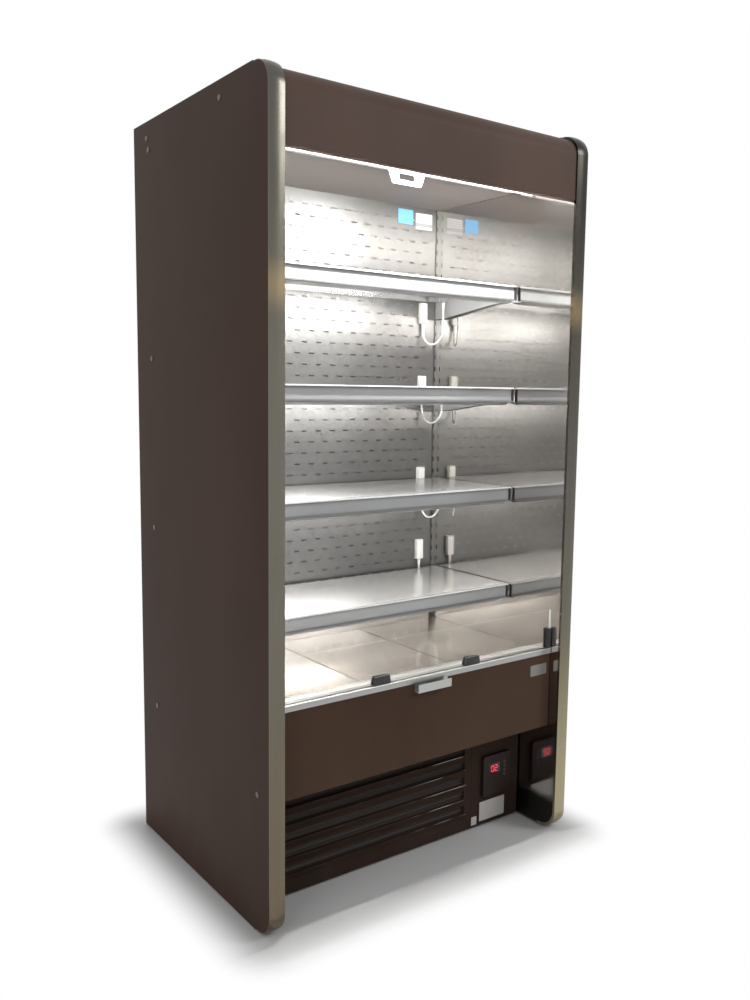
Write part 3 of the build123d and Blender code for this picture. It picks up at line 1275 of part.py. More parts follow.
# ---- evaporator under the deck --------------------------------------------------------------
pan_floor_z = DECK_Z - PAN_H
evap_fan_z = (FLOOR_Z + pan_floor_z) / 2
evap_centres = {
    "evaporator_fan_left": (-EVAP_FAN_X, PLATE_Y, evap_fan_z),
    "evaporator_fan_right": (EVAP_FAN_X, PLATE_Y, evap_fan_z),
}
with BuildPart() as evaporator_fan_plate:
    block((-CLEAR_HALF, CLEAR_HALF), (PLATE_Y, PLATE_Y + SHROUD_T), (FLOOR_Z, pan_floor_z))
    for centre in evap_centres.values():
        with BuildSketch(Plane(centre, x_dir=(1, 0, 0), z_dir=(0, 1, 0))):
            Circle(EVAP_FAN_R + FAN_TIP_GAP)
        extrude(amount=2 * SHROUD_T, mode=Mode.SUBTRACT)
        fan_station(centre, -1, EVAP_FAN_R, EVAP_MOTOR_R, EVAP_MOTOR_L)
write(evaporator_fan_plate, "evaporator_fan_plate")

evaporator_wheel = fan_wheel(EVAP_FAN_R, EVAP_HUB_R, EVAP_CHORD)
for name, centre in evap_centres.items():
    with BuildPart() as evaporator_fan:
        add(wheel_place(centre, -1) * evaporator_wheel)
    write(evaporator_fan, name)

# The tube sheets stand on the tub's floor and carry the deck pans' flanges.
with BuildPart() as evaporator_coil:
    block((-EVAP_X, EVAP_X), EVAP_Y, (FLOOR_Z + EVAP_CLEAR, FLOOR_Z + EVAP_CLEAR + EVAP_H))
    with BuildSketch(Plane.XY.offset(FLOOR_Z + EVAP_CLEAR + EVAP_H)):
        with Locations((0, (EVAP_Y[0] + EVAP_Y[1]) / 2)):
            with GridLocations(EVAP_FIN_PITCH, 0, int(2 * EVAP_X / EVAP_FIN_PITCH), 1):
                Rectangle(EVAP_FIN_PITCH - COIL_END_T, EVAP_Y[1] - EVAP_Y[0])
    extrude(amount=-EVAP_GROOVE, mode=Mode.SUBTRACT)
    seam_x = (pan_w + PAN_GAP) / 2
    for sheet_x in (-EVAP_X, -seam_x, seam_x, EVAP_X):
        block(
            (sheet_x - COIL_END_T / 2, sheet_x + COIL_END_T / 2),
            (EVAP_Y[0], DECK_REAR_Y),
            (FLOOR_Z, pan_floor_z),
        )
write(evaporator_coil, "evaporator_coil")

# The suction line goes up into the tub, and the discharge line to the condenser.
with BuildPart() as refrigerant_pipes:
    lower_z = pot_z + COMPRESSOR_H / 3
    upper_z = FLOOR_Z + EVAP_CLEAR + EVAP_H / 2
    runs = (
        [
            (COMPRESSOR_X + COMPRESSOR_R, PIPE_Y, lower_z),
            (PIPE_X, PIPE_Y, lower_z),
            (PIPE_X, PIPE_Y, upper_z),
            (EVAP_X + COIL_END_T / 2, PIPE_Y, upper_z),
        ],
        [
            (COMPRESSOR_X - COMPRESSOR_R, PIPE_Y, lower_z),
            (DISCHARGE_X, PIPE_Y, lower_z),
            (DISCHARGE_X, coil_middle[1], lower_z),
            (COIL_X[1], coil_middle[1], lower_z),
        ],
    )
    for run in runs:
        along = Vector(*run[1]) - Vector(*run[0])
        with BuildLine() as pipe_run:
            FilletPolyline(*run, radius=PIPE_BEND_R)
        with BuildSketch(Plane(run[0], z_dir=along)):
            RegularPolygon(PIPE_R, PIPE_SIDES)
        sweep(path=pipe_run.line)
write(refrigerant_pipes, "refrigerant_pipes")

# ---- drain ----------------------------------------------------------------------------------
with BuildPart() as condensate_tray:
    block(
        (DRAIN_X - TRAY_SIZE[0] / 2, DRAIN_X + TRAY_SIZE[0] / 2),
        (DRAIN_Y - TRAY_SIZE[1] / 2, DRAIN_Y + TRAY_SIZE[1] / 2),
        (deck_top, deck_top + TRAY_SIZE[2]),
    )
    offset(amount=-TRAY_T, openings=faces().sort_by(Axis.Z)[-1], kind=Kind.INTERSECTION)
write(condensate_tray, "condensate_tray")

with BuildPart() as drain_pipe:
    with BuildSketch(Plane.XY.offset(TUB_BOTTOM_Z + DRAIN_INSERT)):
        with Locations((DRAIN_X, DRAIN_Y)):
            RegularPolygon(DRAIN_R - SEAT, DRAIN_SIDES)
            RegularPolygon(DRAIN_R - SEAT - DRAIN_PIPE_T, DRAIN_SIDES, mode=Mode.SUBTRACT)
    extrude(amount=-(TUB_BOTTOM_Z + DRAIN_INSERT - deck_top - TRAY_SIZE[2] / 2))
write(drain_pipe, "drain_pipe")

# ---- electrical box -------------------------------------------------------------------------
with BuildPart() as electrical_box:
    ebox_y = CHASSIS_FRONT_Y + CHASSIS_T + EBOX_BEHIND
    block(
        (BOX_X - EBOX_SIZE[0] / 2, BOX_X + EBOX_SIZE[0] / 2),
        (ebox_y, ebox_y + EBOX_SIZE[1]),
        (deck_top, deck_top + EBOX_SIZE[2]),
    )
    fillet(edges().filter_by(Axis.Z), radius=EBOX_R)
    with BuildSketch(Plane.XZ.offset(-ebox_y - EBOX_SIZE[1])):
        with Locations((BOX_X, deck_top + EBOX_SIZE[2] / 4)):
            RegularPolygon(GLAND_R, 6)
    extrude(amount=-GLAND_L)
write(electrical_box, "electrical_box")
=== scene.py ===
"""Looks of the open multideck display fridge: finishes, fine pieces, lamps, leads and the studio.

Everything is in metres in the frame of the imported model: the origin is on the floor under the
middle of the cabinet, +X to its right as a shopper faces it, +Y to the rear and +Z up.
"""

from __future__ import annotations

import functools
import json
import logging
import math
from dataclasses import dataclass, field
from enum import Enum

import bmesh
import bpy
from mathutils import Matrix, Vector

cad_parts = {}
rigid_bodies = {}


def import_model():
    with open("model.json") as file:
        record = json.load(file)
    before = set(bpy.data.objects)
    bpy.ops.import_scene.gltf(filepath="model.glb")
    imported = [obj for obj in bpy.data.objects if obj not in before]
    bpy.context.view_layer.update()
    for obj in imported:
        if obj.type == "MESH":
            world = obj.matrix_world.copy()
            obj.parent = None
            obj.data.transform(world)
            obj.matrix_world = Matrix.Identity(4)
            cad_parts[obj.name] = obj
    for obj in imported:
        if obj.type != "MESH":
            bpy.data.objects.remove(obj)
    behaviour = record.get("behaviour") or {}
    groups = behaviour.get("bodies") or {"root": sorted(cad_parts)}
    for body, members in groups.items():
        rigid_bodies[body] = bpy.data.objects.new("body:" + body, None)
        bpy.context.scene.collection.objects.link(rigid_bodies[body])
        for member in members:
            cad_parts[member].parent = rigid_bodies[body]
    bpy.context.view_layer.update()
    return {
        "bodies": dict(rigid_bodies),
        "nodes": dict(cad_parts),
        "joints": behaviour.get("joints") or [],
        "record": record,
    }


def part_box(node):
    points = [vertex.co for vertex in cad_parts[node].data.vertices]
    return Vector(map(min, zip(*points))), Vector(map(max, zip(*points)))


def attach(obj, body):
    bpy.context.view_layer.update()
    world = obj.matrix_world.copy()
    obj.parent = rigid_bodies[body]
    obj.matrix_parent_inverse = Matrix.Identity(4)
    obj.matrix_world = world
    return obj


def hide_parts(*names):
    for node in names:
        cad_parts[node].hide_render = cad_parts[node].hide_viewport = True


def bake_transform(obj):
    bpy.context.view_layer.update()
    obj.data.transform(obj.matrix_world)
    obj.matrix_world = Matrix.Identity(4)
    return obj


LOG = logging.getLogger("display_fridge")
MM = 0.001
CABINET = "cabinet"
SHARP_ANGLE = math.radians(35)  # edges bent by more than this stay crisp
ON_AXIS = 1e-9  # radius below which a ring is one point
WELD = 1e-6  # vertices closer than this are joined
SHELF_TOPS = (712.0, 1008.0, 1304.0, 1600.0)  # mm over the floor

Colour = tuple[float, float, float]
Point = tuple[float, float, float]
Flat = tuple[float, float]
Number = "float | Wire"
Item = bpy.types.Object
Body = bmesh.types.BMesh
Grid = list[list[bmesh.types.BMVert]]


# ---- shader expressions -----------------------------------------------------------------------
class Wire:
    """A shader socket that takes part in Python arithmetic."""

    def __init__(self, graph: Graph, socket: bpy.types.NodeSocket) -> None:
        """Keeps the socket and the graph it belongs to.

        Args:
            graph: graph that new nodes are added to.
            socket: output socket that carries the value.
        """
        self.graph = graph
        self.socket = socket

    def maths(self, operation: str, *others: Number) -> Wire:
        """A Math node of this value and others.

        Args:
            operation: name of the Math node's operation.
            others: the node's further values.

        Returns:
            The node's result.
        """
        return self.graph.maths(operation, self, *others)

    def __add__(self, other: Number) -> Wire:
        """Sum."""
        return self.maths("ADD", other)

    def __radd__(self, other: float) -> Wire:
        """Sum with a number in front."""
        return self.graph.maths("ADD", other, self)

    def __sub__(self, other: Number) -> Wire:
        """Difference."""
        return self.maths("SUBTRACT", other)

    def __rsub__(self, other: float) -> Wire:
        """Difference from a number."""
        return self.graph.maths("SUBTRACT", other, self)

    def __mul__(self, other: Number) -> Wire:
        """Product."""
        return self.maths("MULTIPLY", other)

    def __truediv__(self, other: Number) -> Wire:
        """Quotient."""
        return self.maths("DIVIDE", other)

    def __pow__(self, other: Number) -> Wire:
        """Power."""
        return self.maths("POWER", other)

    def above(self, limit: Number) -> Wire:
        """1 where the value is over the limit, and 0 elsewhere."""
        return self.maths("GREATER_THAN", limit)

    def below(self, limit: Number) -> Wire:
        """1 where the value is under the limit, and 0 elsewhere."""
        return self.maths("LESS_THAN", limit)

    def size(self) -> Wire:
        """The value without its sign."""
        return self.maths("ABSOLUTE")

    def cycle(self, pitch: float) -> Wire:
        """Distance to the nearest whole multiple of the pitch."""
        return (self / pitch + 0.5).maths("FRACT").maths("SUBTRACT", 0.5).size() * pitch

    def ramp(self, low: float, high: float) -> Wire:
        """Rises smoothly from 0 at low to 1 at high, or falls where low is the larger.

        Args:
            low: value that gives 0.
            high: value that gives 1.

        Returns:
            A share from 0 to 1.
        """
        node = self.graph.node(
            "ShaderNodeMapRange",
            {"interpolation_type": "SMOOTHSTEP"},
            {"Value": self, "From Min": low, "From Max": high},
        )
        return Wire(self.graph, node.outputs["Result"])


class Graph:
    """The node tree of one material."""

    def __init__(self, tree: bpy.types.NodeTree) -> None:
        """Starts from an empty tree.

        Args:
            tree: node tree to fill.
        """
        self.tree = tree
        tree.nodes.clear()

    def node(
        self, kind: str, settings: dict[str, object] | None = None, values: dict | None = None
    ) -> bpy.types.Node:
        """Adds a node.

        Args:
            kind: the node's type.
            settings: properties that are set first. Key stops fills a colour ramp.
            values: numbers, colours or wires of its inputs, by name or index.

        Returns:
            The new node.
        """
        made = self.tree.nodes.new(kind)
        for key, value in (settings or {}).items():
            if key == "stops":
                self._fill_ramp(made.color_ramp, value)
            else:
                setattr(made, key, value)
        for key, value in (values or {}).items():
            if isinstance(value, Wire):
                self.tree.links.new(value.socket, made.inputs[key])
            else:
                made.inputs[key].default_value = value
        return made

    @staticmethod
    def _fill_ramp(ramp: bpy.types.ColorRamp, stops: list[tuple[float, Colour]]) -> None:
        """Sets a colour ramp's stops.

        Args:
            ramp: ramp to fill.
            stops: place and colour of each stop, two at least.
        """
        while len(ramp.elements) < len(stops):
            ramp.elements.new(1.0)
        for element, (place, colour) in zip(ramp.elements, stops):
            element.position = place
            element.color = (*colour, 1.0)

    def maths(self, operation: str, *values: Number) -> Wire:
        """A Math node.

        Args:
            operation: name of the operation.
            values: up to three numbers or wires.

        Returns:
            The node's result.
        """
        made = self.node("ShaderNodeMath", {"operation": operation}, dict(enumerate(values)))
        return Wire(self, made.outputs[0])

    def parts(self, vector: bpy.types.NodeSocket) -> tuple[Wire, Wire, Wire]:
        """The x, y and z of a vector."""
        split = self.node("ShaderNodeSeparateXYZ", None, {0: Wire(self, vector)})
        return tuple(Wire(self, split.outputs[axis]) for axis in range(3))

    def place(self) -> tuple[Wire, Wire, Wire]:
        """The x, y and z of the point being shaded, in the frame, in metres."""
        return self.parts(self.node("ShaderNodeTexCoord").outputs["Object"])

    def normal(self) -> tuple[Wire, Wire, Wire]:
        """The x, y and z of the surface's own normal."""
        return self.parts(self.node("ShaderNodeNewGeometry").outputs["Normal"])

    def noise(self, scale: tuple[float, float, float], detail: float = 3.0) -> Wire:
        """Noise in the frame, with its own scale along each axis.

        Args:
            scale: features per metre along x, y and z.
            detail: number of finer layers.

        Returns:
            Values about 0.5.
        """
        where = Wire(self, self.node("ShaderNodeTexCoord").outputs["Object"])
        stretched = self.node(
            "ShaderNodeVectorMath", {"operation": "MULTIPLY"}, {0: where, 1: scale}
        )
        made = self.node(
            "ShaderNodeTexNoise",
            None,
            {"Vector": Wire(self, stretched.outputs[0]), "Scale": 1.0, "Detail": detail},
        )
        return Wire(self, made.outputs[0])

    def mix(self, share: Number, first: Colour | Wire, second: Colour | Wire) -> Wire:
        """A colour between two.

        Args:
            share: 0 for the first and 1 for the second.
            first: a colour or a wire.
            second: a colour or a wire.

        Returns:
            The mixed colour.
        """
        made = self.node("ShaderNodeMix", {"data_type": "RGBA"}, {"Factor": share})
        for socket, value in ((made.inputs[6], first), (made.inputs[7], second)):
            if isinstance(value, Wire):
                self.tree.links.new(value.socket, socket)
            else:
                socket.default_value = (*value, 1.0)
        return Wire(self, made.outputs[2])

    def bump(self, height: Wire, distance: float) -> Wire:
        """A normal bent by a height, of which 1 stands for the distance in metres."""
        values = {"Height": height, "Distance": distance, "Strength": 1.0}
        return Wire(self, self.node("ShaderNodeBump", None, values).outputs[0])

    def even(self, scale: float, detail: float) -> Wire:
        """Noise with one scale along all axes."""
        return self.noise((scale, scale, scale), detail)

    def surface(self, kind: str, shader: Wire) -> None:
        """Ends the graph in an output node of a kind."""
        self.node(kind, None, {"Surface": shader})

    def blend(self, share: Number, first: bpy.types.Node, second: bpy.types.Node) -> Wire:
        """A mix of two shaders.

        Args:
            share: 0 for the first and 1 for the second.
            first: a shader node.
            second: a shader node.

        Returns:
            The mixed shader.
        """
        values = {0: share, 1: Wire(self, first.outputs[0]), 2: Wire(self, second.outputs[0])}
        return Wire(self, self.node("ShaderNodeMixShader", None, values).outputs[0])


def shade(colour: Colour, factor: float) -> Colour:
    """A colour made lighter or darker.

    Args:
        colour: linear red, green and blue.
        factor: multiplier of all three.

    Returns:
        The new colour.
    """
    return tuple(min(1.0, part * factor) for part in colour)


# ---- finishes ---------------------------------------------------------------------------------
class Grain(Enum):
    """The axis that brush marks run along."""

    ALONG_X = 0
    ALONG_Y = 1
    ALONG_Z = 2

    def scale(self, fine: float, coarse: float) -> tuple[float, float, float]:
        """Noise scale of marks along the axis.

        Args:
            fine: features per metre across the marks.
            coarse: features per metre along them.

        Returns:
            Scale along x, y and z.
        """
        return tuple(coarse if axis == self.value else fine for axis in range(3))


@dataclass(frozen=True)
class Finish:
    """A plain moulded or coated surface with faint colour drift and fine texture."""

    name: str
    colour: Colour
    roughness: float = 0.5
    metallic: float = 0.0
    specular: float = 0.5
    coat: float = 0.0
    texture: float = 900.0
    texture_height: float = 0.00002
    drift: float = 0.06
    strength: float = 0.0

    def paint(self, graph: Graph) -> dict[str, object]:
        """Works out what the shader's sockets get.

        Args:
            graph: the material's graph.

        Returns:
            Values or wires by socket name.
        """
        grain = graph.even(self.texture, 2.0)
        cloud = graph.even(6.0, 4.0)
        return {
            "Base Color": self.spread(graph, cloud, self.drift),
            "Roughness": self.roughness + (cloud - 0.5) * 0.12 + (grain - 0.5) * 0.06,
            "Normal": graph.bump(grain, self.texture_height),
        }

    def spread(self, graph: Graph, share: Wire, amount: float) -> Wire:
        """The finish's colour, from darker to lighter by an amount."""
        return graph.mix(share, shade(self.colour, 1 - amount), shade(self.colour, 1 + amount))

    def constants(self) -> dict[str, object]:
        """Values that are the same all over the surface, by socket name."""
        return {
            "Metallic": self.metallic,
            "Specular IOR Level": self.specular,
            "Coat Weight": self.coat,
            "Coat Roughness": 0.08,
            "Emission Strength": self.strength,
        }

    @functools.cache
    def material(self) -> bpy.types.Material:
        """The finish as a material, made once."""
        made = bpy.data.materials.new(self.name)
        made.use_nodes = True
        graph = Graph(made.node_tree)
        shader = graph.node(
            "ShaderNodeBsdfPrincipled", None, {**self.constants(), **self.paint(graph)}
        )
        graph.surface("ShaderNodeOutputMaterial", Wire(graph, shader.outputs[0]))
        return made


@dataclass(frozen=True)
class CoatedSteel(Finish):
    """Satin film on steel sheet: soft unevenness, dust towards the floor and a few rub marks."""

    specular: float = 0.035
    dust: Colour = (0.12, 0.10, 0.085)
    dust_top: float = 0.55
    rub: float = 0.5

    def paint(self, graph: Graph) -> dict[str, object]:
        """Works out what the shader's sockets get.

        Args:
            graph: the material's graph.

        Returns:
            Values or wires by socket name.
        """
        _, _, height = graph.place()
        peel = graph.even(self.texture, 2.0)
        cloud = graph.noise((2.2, 2.2, 1.3), 5.0)
        smear = graph.noise((11.0, 11.0, 5.0), 4.0)
        specks = graph.even(240.0, 1.0).ramp(0.66, 0.76)
        low = height.ramp(self.dust_top, 0.0)
        body = self.spread(graph, cloud.ramp(0.3, 0.7), self.drift)
        settled = (low * 0.16 + 0.03) * smear.ramp(0.35, 0.8) + specks * 0.05
        wear_and_lip_highlight = (smear.ramp(0.5, 0.75) * 0.07 + cloud.ramp(0.45, 0.75) * 0.08) * self.rub
        return {
            "Base Color": graph.mix(settled, body, self.dust),
            "Roughness": self.roughness + wear_and_lip_highlight + (peel - 0.5) * 0.05 + low * 0.06,
            "Normal": graph.bump(peel + cloud * 1.5, self.texture_height),
        }


@dataclass(frozen=True)
class BrushedMetal(Finish):
    """Metal with brush marks along one axis, smears and small stains."""

    grain: Grain = Grain.ALONG_Z
    marks: float = 1.0
    stain: Colour = (0.30, 0.27, 0.22)
    stains: float = 0.25
    patches: float = 0.10
    fine: float = 2600.0

    def paint(self, graph: Graph) -> dict[str, object]:
        """Works out what the shader's sockets get.

        Args:
            graph: the material's graph.

        Returns:
            Values or wires by socket name.
        """
        fine = graph.noise(self.grain.scale(self.fine, 9.0), 2.0)
        broad = graph.noise(self.grain.scale(420.0, 2.0), 2.0)
        smear = graph.noise((9.0, 9.0, 7.0), 5.0)
        spots = graph.even(75.0, 3.0).ramp(0.62, 0.78)
        tone = self.spread(graph, fine * 0.6 + broad * 0.4, 0.22 * self.marks)
        stained = (spots * 0.5 + smear.ramp(0.5, 0.75) * 0.5) * self.stains
        patched = smear.ramp(0.42, 0.7) * self.patches
        return {
            "Base Color": graph.mix(stained, tone, self.stain),
            "Roughness": self.roughness + (fine - 0.5) * 0.14 * self.marks + patched,
            "Normal": graph.bump(fine + broad, self.texture_height * self.marks),
        }


@dataclass(frozen=True)
class Glowing(Finish):
    """A lamp's diffuser on its downward faces, in a white housing elsewhere."""

    glow: Colour = (1.0, 0.98, 0.94)
    strength: float = 6.0
    dots: float = 0.0
    facing: float = -0.35

    def paint(self, graph: Graph) -> dict[str, object]:
        """Works out what the shader's sockets get.

        Args:
            graph: the material's graph.

        Returns:
            Values or wires by socket name.
        """
        along, _, _ = graph.place()
        _, back, up = graph.normal()
        ends = along.size().ramp(0.435, 0.425)
        lens = up.below(self.facing) * (ends * 0.85 + 0.15)
        if self.dots:
            diode = along.cycle(self.dots).ramp(0.4 * self.dots, 0.08 * self.dots)
            lens = lens * back.above(0.02) * (diode * 0.85 + 0.15)
        base = Finish.paint(self, graph)
        base["Emission Color"] = graph.mix(lens, (0.0, 0.0, 0.0), self.glow)
        return base


@dataclass(frozen=True)
class ClearGlass(Finish):
    """Toughened glass with a green tint at its edges and faint smears."""

    def paint(self, graph: Graph) -> dict[str, object]:
        """Works out what the shader's sockets get.

        Args:
            graph: the material's graph.

        Returns:
            Values or wires by socket name.
        """
        end, across, _ = graph.normal()
        edge = across.size().below(0.7)
        cut = end.size().above(0.7)
        smear = graph.noise((14.0, 14.0, 22.0), 4.0)
        return {
            "Base Color": graph.mix(edge, (0.80, 0.84, 0.82), (0.72, 0.80, 0.77)),
            "Roughness": smear.ramp(0.5, 0.8) * 0.08 + 0.02,
            "Alpha": edge * 0.14 + cut * 0.5 + smear.ramp(0.45, 0.8) * 0.03 + 0.03,
            "Normal": graph.bump(smear, 0.00005),
        }


@dataclass(frozen=True)
class Slotted(BrushedMetal):
    """The uprights' metal, with the rest of their bracket slots as dark dashes of painted shade,
    and painted shade below the deck.
    """

    slot_x: float = 0.4495
    slot_top: float = 1.586
    pitch: float = 0.037

    def paint(self, graph: Graph) -> dict[str, object]:
        """Works out what the shader's sockets get.

        Args:
            graph: the material's graph.

        Returns:
            Values or wires by socket name.
        """
        base = BrushedMetal.paint(self, graph)
        along, _, height = graph.place()
        _, facing, _ = graph.normal()
        # painted shade: slots that are not cut in the mesh are drawn as near-black dashes for the
        # shade inside them
        column = (along.size() - self.slot_x).size().below(0.002)
        dash = (height - self.slot_top).cycle(self.pitch).below(0.007)
        slot_shade = column * dash * facing.below(-0.7)
        # painted shade: below the deck the uprights go near-black
        foot = height.ramp(0.60, 0.56)
        slot_shaded = graph.mix(slot_shade, base["Base Color"], (0.008, 0.008, 0.008))
        base["Base Color"] = graph.mix(foot * 0.85, slot_shaded, (0.02, 0.02, 0.02))
        return base


@dataclass(frozen=True)
class PannedMetal(BrushedMetal):
    """The deck's metal, with a dirty seam between the pans, and the pans darker step by step from
    left to right as a painted fall-off of the lamps' reflection.
    """

    seam_x: float = 0.15267
    seam: float = 0.0026

    def paint(self, graph: Graph) -> dict[str, object]:
        """Works out what the shader's sockets get.

        Args:
            graph: the material's graph.

        Returns:
            Values or wires by socket name.
        """
        base = BrushedMetal.paint(self, graph)
        along, _, _ = graph.place()
        joint = (along.size() - self.seam_x).size().below(self.seam)
        # painted reflection fall-off: the middle and right pans are darkened, the right one most
        reflection_falloff = along.above(self.seam_x) * 0.15 + along.above(-self.seam_x) * 0.45
        falloff_painted = graph.mix(reflection_falloff, base["Base Color"], (0.20, 0.165, 0.13))
        base["Base Color"] = graph.mix(joint, falloff_painted, (0.02, 0.016, 0.012))
        return base


@dataclass(frozen=True)
class MirrorSheet(BrushedMetal):
    """Polished sheet with painted reflections: near-black along its foot, where it is also rougher
    from scuffing, darker below the deck and greyer below about 1.5 m.
    """

    dark_foot_top: float = 0.115
    dark_low_top: float = 0.56
    dark_reflection: Colour = (0.035, 0.034, 0.032)

    def paint(self, graph: Graph) -> dict[str, object]:
        """Works out what the shader's sockets get.

        Args:
            graph: the material's graph.

        Returns:
            Values or wires by socket name.
        """
        base = BrushedMetal.paint(self, graph)
        _, _, height = graph.place()
        # painted reflection: darkens the sheet along its foot, below the deck and below about 1.5
        # m, for the dark and lit things it mirrors; the added roughness is real scuffing
        ragged = height + (graph.even(16.0, 4.0) - 0.5) * 0.02
        foot = ragged.ramp(self.dark_foot_top, self.dark_foot_top - 0.03)
        low = height.ramp(self.dark_low_top, self.dark_low_top - 0.20)
        dim = graph.mix(height.ramp(1.55, 1.2) * 0.3, base["Base Color"], (0.40, 0.38, 0.36))
        painted_darkening = graph.mix(low * 0.30, dim, self.dark_reflection)
        base["Base Color"] = graph.mix(foot, painted_darkening, self.dark_reflection)
        base["Roughness"] = base["Roughness"] + foot * 0.25 + low * 0.05
        return base


@dataclass(frozen=True)
class TrimMetal(BrushedMetal):
    """The end panels' edge trims with painted reflections: the right one darker towards the top and
    lighter near the floor, both warmer low down and darker at the top, with a warm painted glint.
    """

    warm_reflection: Colour = (0.42, 0.30, 0.15)

    def paint(self, graph: Graph) -> dict[str, object]:
        """Works out what the shader's sockets get.

        Args:
            graph: the material's graph.

        Returns:
            Values or wires by socket name.
        """
        base = BrushedMetal.paint(self, graph)
        along, _, height = graph.place()
        # painted reflections: darker and lighter bands by height and side, and a painted glint at
        # 1.515 m, in place of what the trims mirror
        right_top_darkening = along.above(0.0) * (height.ramp(0.4, 1.5) * 0.45 + height.ramp(1.5, 1.85) * 0.50)
        bright = along.above(0.0) * height.ramp(0.7, 0.1)
        glint = (height - 1.515).size().ramp(0.075, 0.0)
        painted_darkening = graph.mix(right_top_darkening, base["Base Color"], shade(self.colour, 0.05))
        warm_low_light = tuple(part * tint for part, tint in zip(self.colour, (2.2, 2.08, 1.62)))
        warm_low_reflection = graph.mix(height.ramp(0.9, 0.1) * 0.5, painted_darkening, shade(self.warm_reflection, 0.36))
        lighter = graph.mix(bright, warm_low_reflection, warm_low_light)
        topped = graph.mix(height.ramp(1.2, 1.9) * 0.5, lighter, shade(self.colour, 0.35))
        base["Base Color"] = graph.mix(glint * 0.4, topped, self.warm_reflection)
        return base


@dataclass(frozen=True)
class TicketRail(Finish):
    """Extruded price rail at each shelf, with a painted highlight on its top lip, painted shadow
    under that lip and painted shade on its bottom lip.
    """

    first_top: float = 0.712
    pitch: float = 0.296
    lip: float = 0.004
    rail: float = 0.0435

    def paint(self, graph: Graph) -> dict[str, object]:
        """Works out what the shader's sockets get.

        Args:
            graph: the material's graph.

        Returns:
            Values or wires by socket name.
        """
        base = Finish.paint(self, graph)
        _, _, height = graph.place()
        below = ((height - self.first_top) / self.pitch + 9.0005).maths("FRACT")
        depth = (1 - below) * self.pitch
        # painted shadow under the top lip, painted shade darkening the bottom lip, and a painted
        # highlight that makes the top lip near white
        shadow = depth.ramp(self.lip + 0.012, self.lip) * depth.above(self.lip)
        foot = depth.ramp(self.rail - 0.009, self.rail - 0.003)
        top = depth.below(self.lip)
        under_lip_shadowed = graph.mix(shadow * 0.75, base["Base Color"], (0.12, 0.12, 0.12))
        foot_shaded = graph.mix(foot * 0.8, under_lip_shadowed, (0.10, 0.10, 0.10))
        base["Base Color"] = graph.mix(top, foot_shaded, (0.82, 0.82, 0.82))
        return base


@dataclass(frozen=True)
class LouvrePaint(CoatedSteel):
    """The kick's paint, with a painted highlight along the blades' lips towards the right end."""

    lip_y: float = -0.2238
    wear_and_lip_highlight: Colour = (0.52, 0.48, 0.44)

    def paint(self, graph: Graph) -> dict[str, object]:
        """Works out what the shader's sockets get.

        Args:
            graph: the material's graph.

        Returns:
            Values or wires by socket name.
        """
        base = CoatedSteel.paint(self, graph)
        along, depth, _ = graph.place()
        _, facing, _ = graph.normal()
        # painted highlight: the blades' front lips are lightened towards the right end, broken up
        # by noise, in place of the light they catch
        lip = depth.below(self.lip_y + 0.0006) * facing.below(-0.9)
        highlight_breakup = graph.noise((14.0, 14.0, 60.0), 3.0).ramp(0.40, 0.62)
        share = lip * highlight_breakup * (along.ramp(0.0, 0.20) * 0.92 + 0.04)
        base["Base Color"] = graph.mix(share, base["Base Color"], self.wear_and_lip_highlight)
        return base


@dataclass(frozen=True)
class RuledPaper(Finish):
    """A bare label with ruled lines and one filled band, and no text."""

    top: float = 1.850

    def paint(self, graph: Graph) -> dict[str, object]:
        """Works out what the shader's sockets get.

        Args:
            graph: the material's graph.

        Returns:
            Values or wires by socket name.
        """
        base = Finish.paint(self, graph)
        _, _, height = graph.place()
        down = self.top - height
        lines = (down / 0.007).maths("FRACT").below(0.3) * down.below(0.026) * down.above(0.004)
        band = down.above(0.030) * down.below(0.041)
        ink = lines * 0.45 + band * 0.6
        base["Base Color"] = graph.mix(ink, base["Base Color"], (0.08, 0.08, 0.08))
        return base


@dataclass(frozen=True)
class Finned(BrushedMetal):
    """A finned coil: close fins as bright lines, with painted shade in the gaps between them."""

    pitch: float = 0.003

    def paint(self, graph: Graph) -> dict[str, object]:
        """Works out what the shader's sockets get.

        Args:
            graph: the material's graph.

        Returns:
            Values or wires by socket name.
        """
        base = BrushedMetal.paint(self, graph)
        along, _, _ = graph.place()
        # painted shade in the gaps between the fins
        gap_shade = along.cycle(self.pitch).ramp(0.0004, 0.0011)
        base["Base Color"] = graph.mix(gap_shade, base["Base Color"], (0.03, 0.03, 0.03))
        base["Normal"] = graph.bump(1 - gap_shade, 0.0008)
        return base


@dataclass(frozen=True)
class Woven(Finish):
    """Coated blind cloth with a fine weave."""

    thread: float = 0.0009

    def paint(self, graph: Graph) -> dict[str, object]:
        """Works out what the shader's sockets get.

        Args:
            graph: the material's graph.

        Returns:
            Values or wires by socket name.
        """
        along, _, height = graph.place()
        warp = along.cycle(self.thread) / self.thread
        weft = height.cycle(self.thread) / self.thread
        cloud = graph.even(18.0, 4.0)
        weave = warp + weft
        return {
            "Base Color": graph.mix(
                weave * 0.5 + cloud * 0.5, shade(self.colour, 0.86), shade(self.colour, 1.08)
            ),
            "Roughness": self.roughness + (cloud - 0.5) * 0.1,
            "Normal": graph.bump(weave, 0.0002),
        }


@dataclass(frozen=True)
class Digit(Finish):
    """A lit segment."""

    strength: float = 4.0

    def paint(self, graph: Graph) -> dict[str, object]:
        """Works out what the shader's sockets get.

        Args:
            graph: the material's graph.

        Returns:
            Values or wires by socket name.
        """
        base = Finish.paint(self, graph)
        cloud = graph.even(400.0, 1.0)
        base["Emission Color"] = graph.mix(cloud, (1.0, 0.015, 0.06), (1.0, 0.04, 0.11))
        return base


